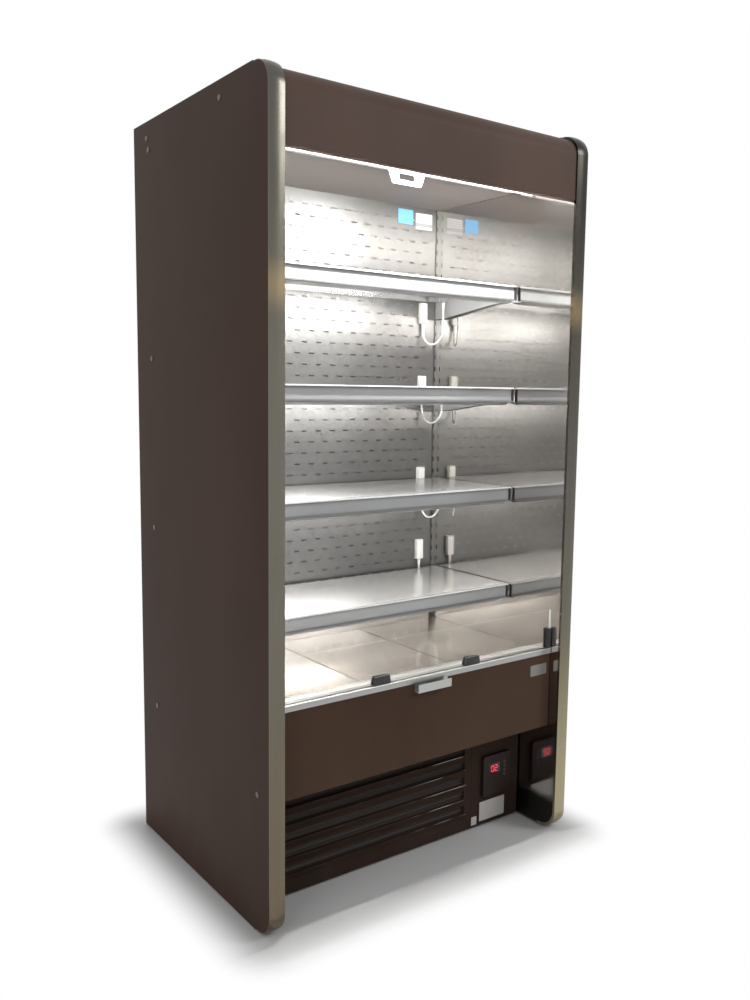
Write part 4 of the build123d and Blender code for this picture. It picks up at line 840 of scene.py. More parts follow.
BROWN = (0.060, 0.035, 0.025)
END_PANEL = CoatedSteel(
    "end_panel_film", BROWN, 0.36, drift=0.10, texture=520.0, texture_height=0.00004
)
FASCIA = CoatedSteel(
    "fascia_film", (0.112, 0.074, 0.061), 0.40, drift=0.16, texture=420.0, texture_height=0.00009,
    dust_top=0.1,
)
NOSE = CoatedSteel("nose_film", (0.066, 0.040, 0.027), 0.38, drift=0.12, texture=520.0, rub=0.8)
KICK = CoatedSteel(
    "kick_paint", (0.029, 0.018, 0.013), 0.42, drift=0.18, texture=600.0, dust=(0.08, 0.07, 0.06),
    dust_top=0.3,
)
LOUVRES = LouvrePaint(
    "louvre_paint", (0.031, 0.019, 0.0135), 0.42, drift=0.18, texture=600.0,
    dust=(0.07, 0.06, 0.05), dust_top=0.3,
)
SKIN = CoatedSteel("insulation_skin", (0.62, 0.63, 0.62), 0.45, dust=(0.35, 0.33, 0.30))
CEILING = CoatedSteel(
    "ceiling_paint", (0.185, 0.163, 0.156), 0.42, dust=(0.3, 0.3, 0.29), dust_top=0.1
)
TRIM = TrimMetal(
    "edge_trim_metal", (0.155, 0.146, 0.122), 0.24, 1.0, grain=Grain.ALONG_Z,
    stain=(0.10, 0.09, 0.06),
)
NOSE_TRIM = BrushedMetal("nose_trim_metal", (0.36, 0.36, 0.35), 0.32, 1.0, grain=Grain.ALONG_X)
MIRROR = MirrorSheet(
    "mirror_sheet", (0.80, 0.775, 0.75), 0.05, 1.0, grain=Grain.ALONG_Z, marks=0.25, stains=0.12,
    texture_height=0.000002,
)
PANEL_METAL = BrushedMetal(
    "back_panel_metal", (0.185, 0.183, 0.178), 0.32, 0.92, grain=Grain.ALONG_X, marks=0.5,
    stains=0.10, patches=0.04,
)
UPRIGHT = Slotted("upright_metal", (0.16, 0.16, 0.155), 0.38, 0.85, grain=Grain.ALONG_Z, marks=0.6)
SHELF_METAL = BrushedMetal(
    "shelf_metal", (0.53, 0.525, 0.516), 0.20, 0.74, grain=Grain.ALONG_X, marks=0.5, stains=0.02,
    patches=0.0,
)
DECK_METAL = PannedMetal(
    "deck_metal", (0.52, 0.475, 0.425), 0.15, 0.84, grain=Grain.ALONG_X, marks=0.4, stains=0.05,
    patches=0.0,
)
STRIP_METAL = BrushedMetal(
    "return_strip_metal", (0.66, 0.65, 0.62), 0.30, 0.9, grain=Grain.ALONG_X, marks=0.4,
    stains=0.05, patches=0.03,
)
# painted shade seen through the return strip's slots
SLOT_SHADE = Finish("return_shade_sheet", (0.006, 0.006, 0.006), 0.8, texture=300.0)
BRACKET = Finish("bracket_paint", (0.42, 0.42, 0.42), 0.40, 0.3)
RAIL = TicketRail("ticket_rail_plastic", (0.36, 0.37, 0.37), 0.34, texture=300.0, coat=0.2)
WHITE_PLASTIC = Finish("white_plastic", (0.78, 0.78, 0.76), 0.42)
LEAD = Finish("lead_sheath", (0.80, 0.80, 0.77), 0.48, texture=1400.0)
BLACK_PLASTIC = Finish("black_plastic", (0.012, 0.012, 0.012), 0.38, texture=700.0)
CAP = Finish("cap_plastic", (0.060, 0.040, 0.032), 0.34)
CONTROL = Finish("control_box_plastic", (0.019, 0.011, 0.009), 0.45, specular=0.2, texture=800.0)
KEY = Finish("key_rubber", (0.040, 0.032, 0.028), 0.55)
DISPLAY = Finish(
    "display_lens", (0.020, 0.004, 0.004), 0.08, coat=0.8, texture=60.0, texture_height=0.000002
)
BAR = Finish("blind_bar_paint", (0.80, 0.80, 0.79), 0.36)
CATCH = BrushedMetal("catch_metal", (0.42, 0.43, 0.41), 0.30, 1.0, grain=Grain.ALONG_X, marks=0.6)
ZINC = BrushedMetal(
    "zinc_plate", (0.50, 0.51, 0.52), 0.40, 0.9, grain=Grain.ALONG_X, marks=0.8, stains=0.4
)
POT = Finish("compressor_enamel", (0.012, 0.012, 0.013), 0.30, coat=0.4, texture=200.0)
FINS = Finned("coil_fins", (0.62, 0.63, 0.64), 0.35, 0.9, grain=Grain.ALONG_Z)
# painted shade: the condenser coil's fins are near-black for the shade behind the kick's louvres
SHADED_FINS = Finned("shaded_coil_fins", (0.020, 0.018, 0.017), 0.5, 0.2, grain=Grain.ALONG_Z)
COPPER = BrushedMetal(
    "copper_pipe", (0.60, 0.28, 0.16), 0.28, 1.0, grain=Grain.ALONG_Z, stain=(0.16, 0.09, 0.05)
)
FAN = Finish("fan_plastic", (0.016, 0.016, 0.018), 0.42)
TRAY = Finish("tray_plastic", (0.05, 0.05, 0.055), 0.5)
GLASS = ClearGlass("tinted_glass", (0.9, 0.95, 0.93), 0.03)
CANOPY_GLOW = Glowing("canopy_diffuser", (0.80, 0.80, 0.78), 0.4, strength=8.0)
# painted shade: the shelf lamps' housings are mid grey for the shade under the shelves
SHELF_GLOW = Glowing(
    "shelf_diffuser", (0.26, 0.26, 0.26), 0.4, strength=8.0, dots=0.037, facing=-0.9
)
CLOTH = Woven("blind_cloth", (0.66, 0.66, 0.64), 0.7)
# painted shade: the dark pleated sheet behind the kick's louvres
LOUVRE_SHADE = Woven("louvre_shade_sheet", (0.034, 0.026, 0.021), 0.9, thread=0.0022)
BLUE_TAPE = Finish("blue_tape", (0.14, 0.36, 0.62), 0.45, texture=500.0)
RULED_PAPER = RuledPaper("ruled_label_paper", (0.62, 0.62, 0.61), 0.6, texture=1200.0)
GREY_PLATE = Finish("label_foil", (0.50, 0.48, 0.46), 0.45, 0.3, texture=900.0)
BLANK_PLATE = BrushedMetal("blank_plate", (0.22, 0.215, 0.20), 0.33, 0.9, grain=Grain.ALONG_X)
LIT_SEGMENT = Digit("lit_segment", (0.5, 0.01, 0.01), 0.4, strength=1.6)

NODE_FINISHES: dict[Finish, tuple[str, ...]] = {
    END_PANEL: ("end_panel_left", "end_panel_right"),
    TRIM: ("end_trims",),
    MIRROR: ("mirror_liners",),
    CAP: ("panel_screw_caps",),
    SKIN: ("back_wall", "roof_panel"),
    FASCIA: ("canopy_fascia",),
    CEILING: ("canopy_ceiling", "blind_cassette"),
    WHITE_PLASTIC: ("air_curtain_grille", "lamp_sockets"),
    CANOPY_GLOW: ("canopy_lamp",),
    SHELF_GLOW: ("shelf_lamps",),
    CLOTH: ("blind_roller", "blind_fabric"),
    BAR: ("blind_bar",),
    CATCH: ("blind_catch",),
    NOSE_TRIM: ("nose_trim",),
    PANEL_METAL: ("back_panel",),
    UPRIGHT: ("uprights",),
    STRIP_METAL: ("return_air_grille",),
    SHELF_METAL: ("shelf_1", "shelf_2", "shelf_3", "shelf_4"),
    BRACKET: ("shelf_brackets",),
    RAIL: ("ticket_rails",),
    DECK_METAL: ("deck_pans",),
    NOSE: ("nose_panel",),
    GLASS: ("riser_glass",),
    BLACK_PLASTIC: ("riser_clips",),
    LOUVRES: ("kick_grille",),
    KICK: ("control_panel", "insulated_base"),
    CONTROL: ("control_box", "electrical_box"),
    DISPLAY: ("display_window",),
    KEY: ("key_up", "key_down", "key_set", "key_light"),
    ZINC: (
        "base_frame", "levelling_feet", "rear_cover", "condenser_fan_mount", "evaporator_fan_plate",
    ),
    POT: ("compressor",),
    SHADED_FINS: ("condenser_coil",),
    FINS: ("evaporator_coil",),
    COPPER: ("refrigerant_pipes",),
    FAN: ("condenser_fan", "evaporator_fan_left", "evaporator_fan_right"),
    TRAY: ("condensate_tray", "drain_pipe"),
    LEAD: ("lamp_lead_1", "lamp_lead_2", "lamp_lead_3", "lamp_lead_4"),
}


# ---- meshes -----------------------------------------------------------------------------------
def dress(item: Item, finish: Finish) -> None:
    """Gives an object one finish.

    Args:
        item: object to dress.
        finish: its finish.
    """
    item.data.materials.clear()
    item.data.materials.append(finish.material())


def add_mesh(name: str, body: Body, finish: Finish | None, smooth: bool = False) -> Item:
    """Makes an object of a finished bmesh.

    Args:
        name: the object's name.
        body: mesh, which is freed.
        finish: its finish, or None for one that is given later.
        smooth: shades its faces smooth, apart from sharp edges.

    Returns:
        The object, in the scene.
    """
    bmesh.ops.recalc_face_normals(body, faces=body.faces)
    if smooth:
        for face in body.faces:
            face.smooth = True
        for edge in body.edges:
            if len(edge.link_faces) == 2 and edge.calc_face_angle() > SHARP_ANGLE:
                edge.smooth = False
    mesh = bpy.data.meshes.new(name)
    body.to_mesh(mesh)
    body.free()
    item = bpy.data.objects.new(name, mesh)
    bpy.context.scene.collection.objects.link(item)
    if finish:
        dress(item, finish)
    return item


def settle(item: Item, body: str, slot: str, *nodes: str) -> Item:
    """Puts a new piece on a body and hides the nodes that it replaces.

    Args:
        item: the piece.
        body: body that it rides on.
        slot: material slot of the record. Not used.
        nodes: nodes that it replaces.

    Returns:
        The piece.
    """
    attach(item, body)
    if nodes:
        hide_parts(*nodes)
    LOG.info("%s rides on %s", item.name, body)
    return item


def push_out(body: Body, faces: list[bmesh.types.BMFace], offset: Vector) -> None:
    """Extrudes flat faces into a solid.

    Args:
        body: mesh that the faces are in.
        faces: faces to extrude.
        offset: from the faces to the solid's other side.
    """
    raised = bmesh.ops.extrude_face_region(body, geom=faces)
    moved = [part for part in raised["geom"] if isinstance(part, bmesh.types.BMVert)]
    bmesh.ops.translate(body, verts=moved, vec=offset)


def add_plate(body: Body, corners: list[Point], offset: Point) -> None:
    """Adds a flat plate from its outline and the way to its other face."""
    push_out(body, [body.faces.new([body.verts.new(corner) for corner in corners])], Vector(offset))


def add_box(body: Body, low: Point, high: Point) -> None:
    """Adds a plain block.

    Args:
        body: mesh to add to.
        low: its lowest corner.
        high: its highest corner.
    """
    size = Vector(high) - Vector(low)
    middle = (Vector(high) + Vector(low)) / 2
    fit = Matrix.Translation(middle) @ Matrix.Diagonal((*size, 1.0))
    bmesh.ops.create_cube(body, size=1.0, matrix=fit)


def add_ring(
    body: Body, place: Matrix, radius: float, height: float, steps: int
) -> list[bmesh.types.BMVert]:
    """Adds a ring of vertices.

    Args:
        body: mesh to add to.
        place: where the axis, which is local z, stands.
        radius: the ring's radius.
        height: the ring's place along the axis.
        steps: number of vertices.

    Returns:
        The vertices in order.
    """
    turns = [2 * math.pi * step / steps for step in range(steps)]
    points = [Vector((radius * math.cos(a), radius * math.sin(a), height)) for a in turns]
    return [body.verts.new(place @ point) for point in points]


def add_lathe(body: Body, profile: list[Flat], place: Matrix, steps: int) -> None:
    """Adds a solid of revolution.

    Args:
        body: mesh to add to.
        profile: radius and height pairs, from one end on the axis to the other.
        place: where the axis, which is local z, stands.
        steps: points round the axis.
    """
    rings = [
        add_ring(body, place, radius, height, 1 if radius < ON_AXIS else steps)
        for radius, height in profile
    ]
    for lower, upper in zip(rings, rings[1:]):
        for step in range(steps):
            following = (step + 1) % steps
            loop = [lower[step % len(lower)], lower[following % len(lower)]]
            loop += [upper[following % len(upper)], upper[step % len(upper)]]
            unique = list(dict.fromkeys(loop))
            if len(unique) > 2:
                body.faces.new(unique)


def bridge(body: Body, rings: Grid) -> None:
    """Joins each ring of vertices to the next with quads.

    Args:
        body: mesh that the rings are in.
        rings: rings of one length.
    """
    for lower, upper in zip(rings, rings[1:]):
        for step, corner in enumerate(lower):
            following = (step + 1) % len(lower)
            body.faces.new([corner, lower[following], upper[following], upper[step]])


def join_grids(body: Body, front: Grid, back: Grid) -> None:
    """Closes two grids of vertices into one thin solid.

    Args:
        body: mesh that the grids are in.
        front: rows of vertices on one side.
        back: rows of vertices on the other side.
    """
    rows, columns = len(front) - 1, len(front[0]) - 1
    cells = [(row, column) for row in range(rows) for column in range(columns)]
    for row, column in cells:
        for grid in (front, back):
            near, far = grid[row], grid[row + 1]
            body.faces.new([near[column], near[column + 1], far[column + 1], far[column]])
    for row in range(rows):
        for column in (0, columns):
            sides = [front[row][column], front[row + 1][column]]
            body.faces.new(sides + [back[row + 1][column], back[row][column]])
    for column in range(columns):
        for row in (0, rows):
            ends = [front[row][column], front[row][column + 1]]
            body.faces.new(ends + [back[row][column + 1], back[row][column]])


def rounded_outline(width: float, height: float, radius: float, steps: int) -> list[Flat]:
    """Outline of a rounded rectangle about the origin.

    Args:
        width: whole width.
        height: whole height.
        radius: corner radius.
        steps: points in each corner.

    Returns:
        Points in order.
    """
    points = []
    for corner, (along, up) in enumerate(((1, 1), (-1, 1), (-1, -1), (1, -1))):
        for step in range(steps):
            angle = math.pi / 2 * (corner + step / (steps - 1))
            x = along * (width / 2 - radius) + radius * math.cos(angle)
            points.append((x, up * (height / 2 - radius) + radius * math.sin(angle)))
    return points


def add_cushion(body: Body, outline: list[Flat], seat: float, height: float) -> None:
    """Adds a moulded block that stands along y on its seat, with a rounded outer edge.

    Args:
        body: mesh to add to.
        outline: x and z of the points round it.
        seat: y of the face that it stands on.
        height: from the seat to its outer face, negative towards the front.
    """
    middle = sum((Vector(point) for point in outline), Vector((0, 0))) / len(outline)
    rings = []
    for share, inset in ((0.0, 0.0), (0.55, 0.0), (0.85, 0.0006), (1.0, 0.0018)):
        ring = []
        for point in outline:
            inwards = (middle - Vector(point)).normalized() * inset
            corner = (point[0] + inwards.x, seat + share * height, point[1] + inwards.y)
            ring.append(body.verts.new(corner))
        rings.append(ring)
    bridge(body, rings)
    body.faces.new(rings[0])
    body.faces.new(rings[-1])


# ---- camera and studio ------------------------------------------------------------------------
@dataclass
class Viewpoint:
    """The camera at the photographer's place."""

    place: Point = (-1.50174, -2.12379, 1.28529)
    yaw: float = 36.3383
    pitch: float = 6.6931
    roll: float = 0.6786
    lens: float = 33.03
    sensor: float = 36.0

    def build(self) -> None:
        """Makes the scene's camera."""
        yaw, pitch, roll = (math.radians(angle) for angle in (self.yaw, self.pitch, self.roll))
        level = Vector((math.sin(yaw), math.cos(yaw), 0))
        right = Vector((math.cos(yaw), -math.sin(yaw), 0))
        up = Vector((0, 0, 1))
        ahead = level * math.cos(pitch) - up * math.sin(pitch)
        tilted_up = up * math.cos(pitch) + level * math.sin(pitch)
        rolled_right = right * math.cos(roll) + tilted_up * math.sin(roll)
        rolled_up = tilted_up * math.cos(roll) - right * math.sin(roll)
        data = bpy.data.cameras.new("viewpoint")
        data.lens = self.lens
        data.sensor_width = self.sensor
        data.sensor_fit = "AUTO"
        camera = bpy.data.objects.new("viewpoint", data)
        columns = Matrix((rolled_right, rolled_up, -ahead)).transposed()
        camera.matrix_world = Matrix.Translation(self.place) @ columns.to_4x4()
        bpy.context.scene.collection.objects.link(camera)
        bpy.context.scene.camera = camera


def area_lamp(
    name: str, place: Point, target: Point, size: Flat, power: float, colour: Colour = (1, 1, 1)
) -> Item:
    """Makes a rectangular lamp.

    Args:
        name: its name.
        place: its middle.
        target: point that it faces.
        size: length along its own x and y.
        power: in watts.
        colour: its colour.

    Returns:
        The lamp.
    """
    data = bpy.data.lights.new(name, "AREA")
    data.shape = "RECTANGLE"
    data.size, data.size_y = size
    data.energy = power
    data.color = colour
    lamp = bpy.data.objects.new(name, data)
    lamp.location = place
    facing = Vector(target) - Vector(place)
    lamp.rotation_euler = facing.to_track_quat("-Z", "Y").to_euler()
    lamp.visible_camera = False
    bpy.context.scene.collection.objects.link(lamp)
    return lamp


@dataclass
class Studio:
    """Pale floor, white surround and soft lamps."""

    floor_half: float = 40.0
    floor_grey: float = 0.56
    stand: Flat = (0.50, 0.37)  # half the cabinet's width and depth
    fade: Flat = (0.0, 0.15)  # distance from the cabinet over which the floor turns white
    surround: float = 0.50
    softboxes: tuple[tuple[Point, Point, float, float], ...] = (
        ((-3.6, -2.0, 2.6), (0.0, 0.0, 1.0), 2.2, 30.0),
        ((2.6, -3.2, 3.4), (0.0, 0.0, 0.8), 1.2, 60.0),
        ((0.5, 3.6, 3.2), (0.0, 0.3, 1.0), 2.6, 30.0),
    )

    def build(self) -> None:
        """Makes the floor, the world and the lamps."""
        self._floor()
        self._world()
        for number, (place, target, size, power) in enumerate(self.softboxes):
            area_lamp(f"softbox_{number}", place, target, (size, size), power)
        bpy.context.scene.view_settings.view_transform = "Standard"

    def _floor(self) -> None:
        """A large pale floor that turns white away from the cabinet."""
        half = self.floor_half
        body = bmesh.new()
        corners = ((-half, -half), (half, -half), (half, half), (-half, half))
        body.faces.new([body.verts.new((x, y, 0.0)) for x, y in corners])
        floor = add_mesh("floor", body, None)
        made = bpy.data.materials.new("floor")
        made.use_nodes = True
        graph = Graph(made.node_tree)
        along, across, _ = graph.place()
        beside = (along.size() - self.stand[0]).maths("MAXIMUM", 0.0)
        beyond = (across.size() - self.stand[1]).maths("MAXIMUM", 0.0)
        away = (beside * beside + beyond * beyond) ** 0.5
        grey = (self.floor_grey,) * 3
        values = {"Base Color": (*grey, 1.0), "Roughness": 0.7, "Specular IOR Level": 0.2}
        matt = graph.node("ShaderNodeBsdfPrincipled", None, values)
        white = self._plain(graph, "ShaderNodeEmission", 1.0)
        share = away.ramp(*self.fade) * self._shown(graph)
        graph.surface("ShaderNodeOutputMaterial", graph.blend(share, matt, white))
        floor.data.materials.append(made)

    @staticmethod
    def _plain(graph: Graph, kind: str, strength: float) -> bpy.types.Node:
        """Adds a white shader of a kind and strength."""
        return graph.node(kind, None, {"Color": (1.0, 1.0, 1.0, 1.0), "Strength": strength})

    @staticmethod
    def _shown(graph: Graph) -> Wire:
        """1 for the camera's rays, and those that metal and glass pass on.

        Args:
            graph: graph to add the nodes to.

        Returns:
            The mask.
        """
        path = graph.node("ShaderNodeLightPath")
        names = ("Is Camera Ray", "Is Glossy Ray", "Is Transmission Ray")
        camera, glossy, through = (Wire(graph, path.outputs[name]) for name in names)
        return camera.maths("MAXIMUM", glossy).maths("MAXIMUM", through)

    def _world(self) -> None:
        """White where it shows, and a plain grey level elsewhere."""
        world = bpy.data.worlds.new("surround")
        bpy.context.scene.world = world
        world.use_nodes = True
        graph = Graph(world.node_tree)
        dim = self._plain(graph, "ShaderNodeBackground", self.surround)
        white = self._plain(graph, "ShaderNodeBackground", 1.0)
        blend = graph.blend(self._shown(graph), dim, white)
        graph.surface("ShaderNodeOutputWorld", blend)


@dataclass
class InteriorLight:
    """What the cabinet's own lamps throw on the shelves."""

    half: float = 0.42
    canopy: Flat = (-0.280, 1.838)  # y and z
    canopy_power: float = 24.0
    shelf_y: float = -0.130
    shelf_drop: float = 0.054
    shelf_powers: tuple[float, ...] = (6.5, 4.2, 3.6, 6.5)
    beam_x: float = -0.30
    beam_power: float = 2.8
    beam_spread: float = 110.0
    warmth: Colour = (1.0, 0.99, 0.972)

    def build(self) -> None:
        """Places a lamp under the canopy, and two under each shelf."""
        y, z = self.canopy
        size = (2 * self.half, 0.035)
        area_lamp("canopy_light", (0, y, z), (0, 0.10, 1.25), size, self.canopy_power, self.warmth)
        y = self.shelf_y
        for number, (top, power) in enumerate(zip(SHELF_TOPS, self.shelf_powers)):
            z = top * MM - self.shelf_drop
            size, target = (2 * self.half, 0.025), (0, y + 0.16, z - 0.14)
            area_lamp(f"shelf_light_{number}", (0, y, z), target, size, power, self.warmth)
            x, name = self.beam_x, f"shelf_beam_{number}"
            target = (x, y + 0.05, z - 0.24)
            beam = area_lamp(name, (x, y, z), target, (0.30, 0.02), self.beam_power, self.warmth)
            beam.data.spread = math.radians(self.beam_spread)


# ---- lamp leads -------------------------------------------------------------------------------
@dataclass
class LampLeads:
    """The four leads that hang in loops between the sockets and the shelves' connectors."""

    diameter: float = 0.006
    socket_rise: tuple[float, ...] = (28.0, -30.0, -29.0, -94.0)
    socket: Flat = (393.0, 203.0)  # x and y
    plug: Flat = (428.0, 145.0)
    plug_drop: float = 30.0
    lengths: tuple[float, ...] = (0.232, 0.230, 0.207, 0.232)
    boot_length: float = 0.020
    boot_steps: int = 10
    loops: tuple[tuple[Flat, ...], ...] = (
        ((0, 42), (0.03, 82), (0.20, 116), (0.60, 133), (0.96, 112), (1, 84)),
        ((0, 38), (0.05, 72), (0.36, 101), (0.78, 92), (1.03, 58), (1, 28)),
        ((0, 34), (0.06, 64), (0.38, 90), (0.80, 80), (1.03, 48), (1, 22)),
        ((0, 28), (0.09, 52), (0.42, 70), (0.82, 56), (1.03, 20), (1, -22)),
    )

    def build(self) -> None:
        """Makes each lead and its two boots."""
        rows = zip(SHELF_TOPS, self.socket_rise, self.loops, self.lengths)
        for number, (top, rise, loop, length) in enumerate(rows, start=1):
            points = self._route(top, rise, loop)
            boots = [
                self._boot(f"lead_boot_{number}_socket", points[0], points[1]),
                self._boot(f"lead_boot_{number}_shelf", points[-1], points[-2]),
            ]
            self._lead(number, points)

    def _route(self, top: float, rise: float, loop: tuple[Flat, ...]) -> list[Point]:
        """The route's points in metres, from socket to connector.

        Args:
            top: the shelf's top.
            rise: from the shelf's top to the socket's lower end.
            loop: share of the way along, and drop below the socket, of each point between.

        Returns:
            The points.
        """
        socket_z = top + rise
        points = [(*self.socket, socket_z)]
        for share, drop in loop:
            x, y = (near + share * (far - near) for near, far in zip(self.socket, self.plug))
            points.append((x, y, socket_z - drop))
        points.append((*self.plug, top - self.plug_drop))
        return [tuple(part * MM for part in point) for point in points]

    def _lead(self, number: int, points: list[Point]) -> None:
        """One lead as a smooth curve.

        Args:
            number: the lead's number, from the lowest shelf.
            points: its control points.
        """
        name = f"lead_{number}"
        curve = bpy.data.curves.new(name, "CURVE")
        curve.dimensions = "3D"
        curve.bevel_depth = self.diameter / 2
        curve.bevel_resolution = 3
        curve.resolution_u = 10
        curve.use_fill_caps = True
        spline = curve.splines.new("NURBS")
        spline.points.add(len(points) - 1)
        for control, point in zip(spline.points, points):
            control.co = (*point, 1.0)
        spline.order_u = 3
        spline.use_endpoint_u = True
        lead = bpy.data.objects.new(name, curve)
        bpy.context.scene.collection.objects.link(lead)
        curve.materials.append(LEAD.material())
        settle(lead, CABINET, "white_plastic", f"lamp_lead_{number}")

    def _boot(self, name: str, start: Point, towards: Point) -> Item:
        """A tapered, ribbed boot where a lead leaves a housing.

        Args:
            name: the boot's name.
            start: where the lead leaves.
            towards: the route's next point.

        Returns:
            The boot.
        """
        along = (Vector(towards) - Vector(start)).normalized()
        place = Matrix.Translation(start) @ along.to_track_quat("Z", "X").to_matrix().to_4x4()
        profile = [(0.0, 0.0)]
        for step in range(self.boot_steps + 1):
            share = step / self.boot_steps
            rib = 0.00035 if step % 2 else 0.0
            profile.append((0.0055 - 0.0018 * share + rib, self.boot_length * share))
        profile.append((0.0, self.boot_length))
        body = bmesh.new()
        add_lathe(body, profile, place, 20)
        boot = add_mesh(name, body, WHITE_PLASTIC, smooth=True)
        return settle(boot, CABINET, "white_plastic")


# ---- perforated sheets ------------------------------------------------------------------------
@dataclass
class PunchedSheet:
    """A sheet with rows of long holes, made cell by cell and then thickened along local z."""

    frame: Matrix
    half: float
    thickness: float
    hole: Flat
    corner: float
    body: Body = field(default_factory=bmesh.new)

    def _corner(self, x: float, y: float) -> bmesh.types.BMVert:
        """Adds a vertex at a point of the sheet's plane."""
        return self.body.verts.new(self.frame @ Vector((x, y, 0)))

    def row(self, middle: float, count: int, size: Flat) -> None:
        """A row of cells, with plain sheet from its ends to the sheet's edges.

        Args:
            middle: height of the row's middle on the sheet.
            count: number of cells.
            size: a cell's width and height.
        """
        edge = count * size[0] / 2
        for column in range(count):
            self._cell(((column + 0.5) * size[0] - edge, middle), size)
        for side in (-1, 1):
            low, high = sorted((side * edge, side * self.half))
            self.rectangle(low, high, middle - size[1] / 2, middle + size[1] / 2)

    def _cell(self, centre: Flat, size: Flat) -> None:
        """One rectangle of sheet with a hole in its middle.

        Args:
            centre: the cell's middle on the sheet.
            size: the cell's width and height.
        """
        w, h = size[0] / 2, size[1] / 2
        inner = rounded_outline(*self.hole, self.corner, 3)
        outer = [(w, 0), (w, h), (0, h), (0, h), (-w, h), (-w, 0)]
        outer += [(-x, -y) for x, y in outer]
        hole, rim = (
            [self._corner(centre[0] + x, centre[1] + y) for x, y in outline]
            for outline in (inner, outer)
        )
        for step, corner in enumerate(hole):
            following = (step + 1) % len(hole)
            corners = [corner, hole[following], rim[following], rim[step]]
            if (corners[2].co - corners[3].co).length < WELD / 10:
                corners.pop()
            self.body.faces.new(corners)

    def rectangle(self, left: float, right: float, low: float, high: float) -> None:
        """Adds a plain rectangle of sheet between four edges."""
        corners = ((left, low), (right, low), (right, high), (left, high))
        self.body.faces.new([self._corner(x, y) for x, y in corners])

    def thicken(self) -> None:
        """Joins the cells and gives the sheet its thickness."""
        bmesh.ops.remove_doubles(self.body, verts=self.body.verts, dist=WELD)
        offset = self.frame.to_3x3() @ Vector((0, 0, self.thickness))
        push_out(self.body, self.body.faces[:], offset)


@dataclass(frozen=True)
class Sticker:
    """A thin plate with rounded corners, on a face that looks to the front."""

    name: str
    low: Flat
    high: Flat
    face_y: float
    finish: Finish
    thickness: float = 0.0005
    steps: int = 4
    corner: float = 0.002
    glue: float = 0.0001

    def build(self) -> None:
        """Makes the plate."""
        size = (self.high[0] - self.low[0], self.high[1] - self.low[1])
        x, z = ((low + high) / 2 for low, high in zip(self.low, self.high))
        outline = rounded_outline(*size, self.corner, self.steps)
        corners = [(x + across, self.face_y - self.glue, z + up) for across, up in outline]
        body = bmesh.new()
        add_plate(body, corners, (0, -self.thickness, 0))
        settle(add_mesh(self.name, body, self.finish), CABINET, "white_plastic")


@dataclass
class BackPanel:
    """The perforated panel behind the shelves, with its stickers."""

    cell: Flat = (0.050, 0.03290)
    half: float = 0.446
    front_y: float = 0.210
    bottom: float = 0.535
    top: float = 1.867
    fold: float = 0.020
    columns: int = 17
    margin: float = 0.02

    def build(self) -> None:
        """Makes the panel and what is stuck to it."""
        frame = Matrix(((1, 0, 0, 0), (0, 0, 1, self.front_y), (0, 1, 0, 0), (0, 0, 0, 1)))
        sheet = PunchedSheet(frame, self.half, 0.001, (0.019, 0.0032), 0.0015)
        band = self.cell[1]
        rows = int((self.top - self.bottom - self.margin) / band)
        first = (self.top + self.bottom) / 2 - rows * band / 2
        for row in range(rows):
            sheet.row(first + (row + 0.5) * band, self.columns - row % 2, self.cell)
        sheet.rectangle(-self.half, self.half, self.bottom, first)
        sheet.rectangle(-self.half, self.half, first + rows * band, self.top)
        sheet.thicken()
        for side in (-1, 1):
            low_x, high_x = sorted((side * self.half, side * (self.half - sheet.thickness)))
            low = (low_x, self.front_y + 0.0012, self.bottom)
            add_box(sheet.body, low, (high_x, self.front_y + self.fold, self.top))
        panel = add_mesh("punched_back_panel", sheet.body, PANEL_METAL)
        settle(panel, CABINET, "white_sheet", "back_panel")
        for name, low, high, finish in (
            ("blue_square", (0.292, 1.811), (0.351, 1.856), BLUE_TAPE),
            ("bare_label", (0.362, 1.801), (0.429, 1.850), RULED_PAPER),
        ):
            Sticker(name, low, high, self.front_y, finish, thickness=0.0003, steps=3).build()


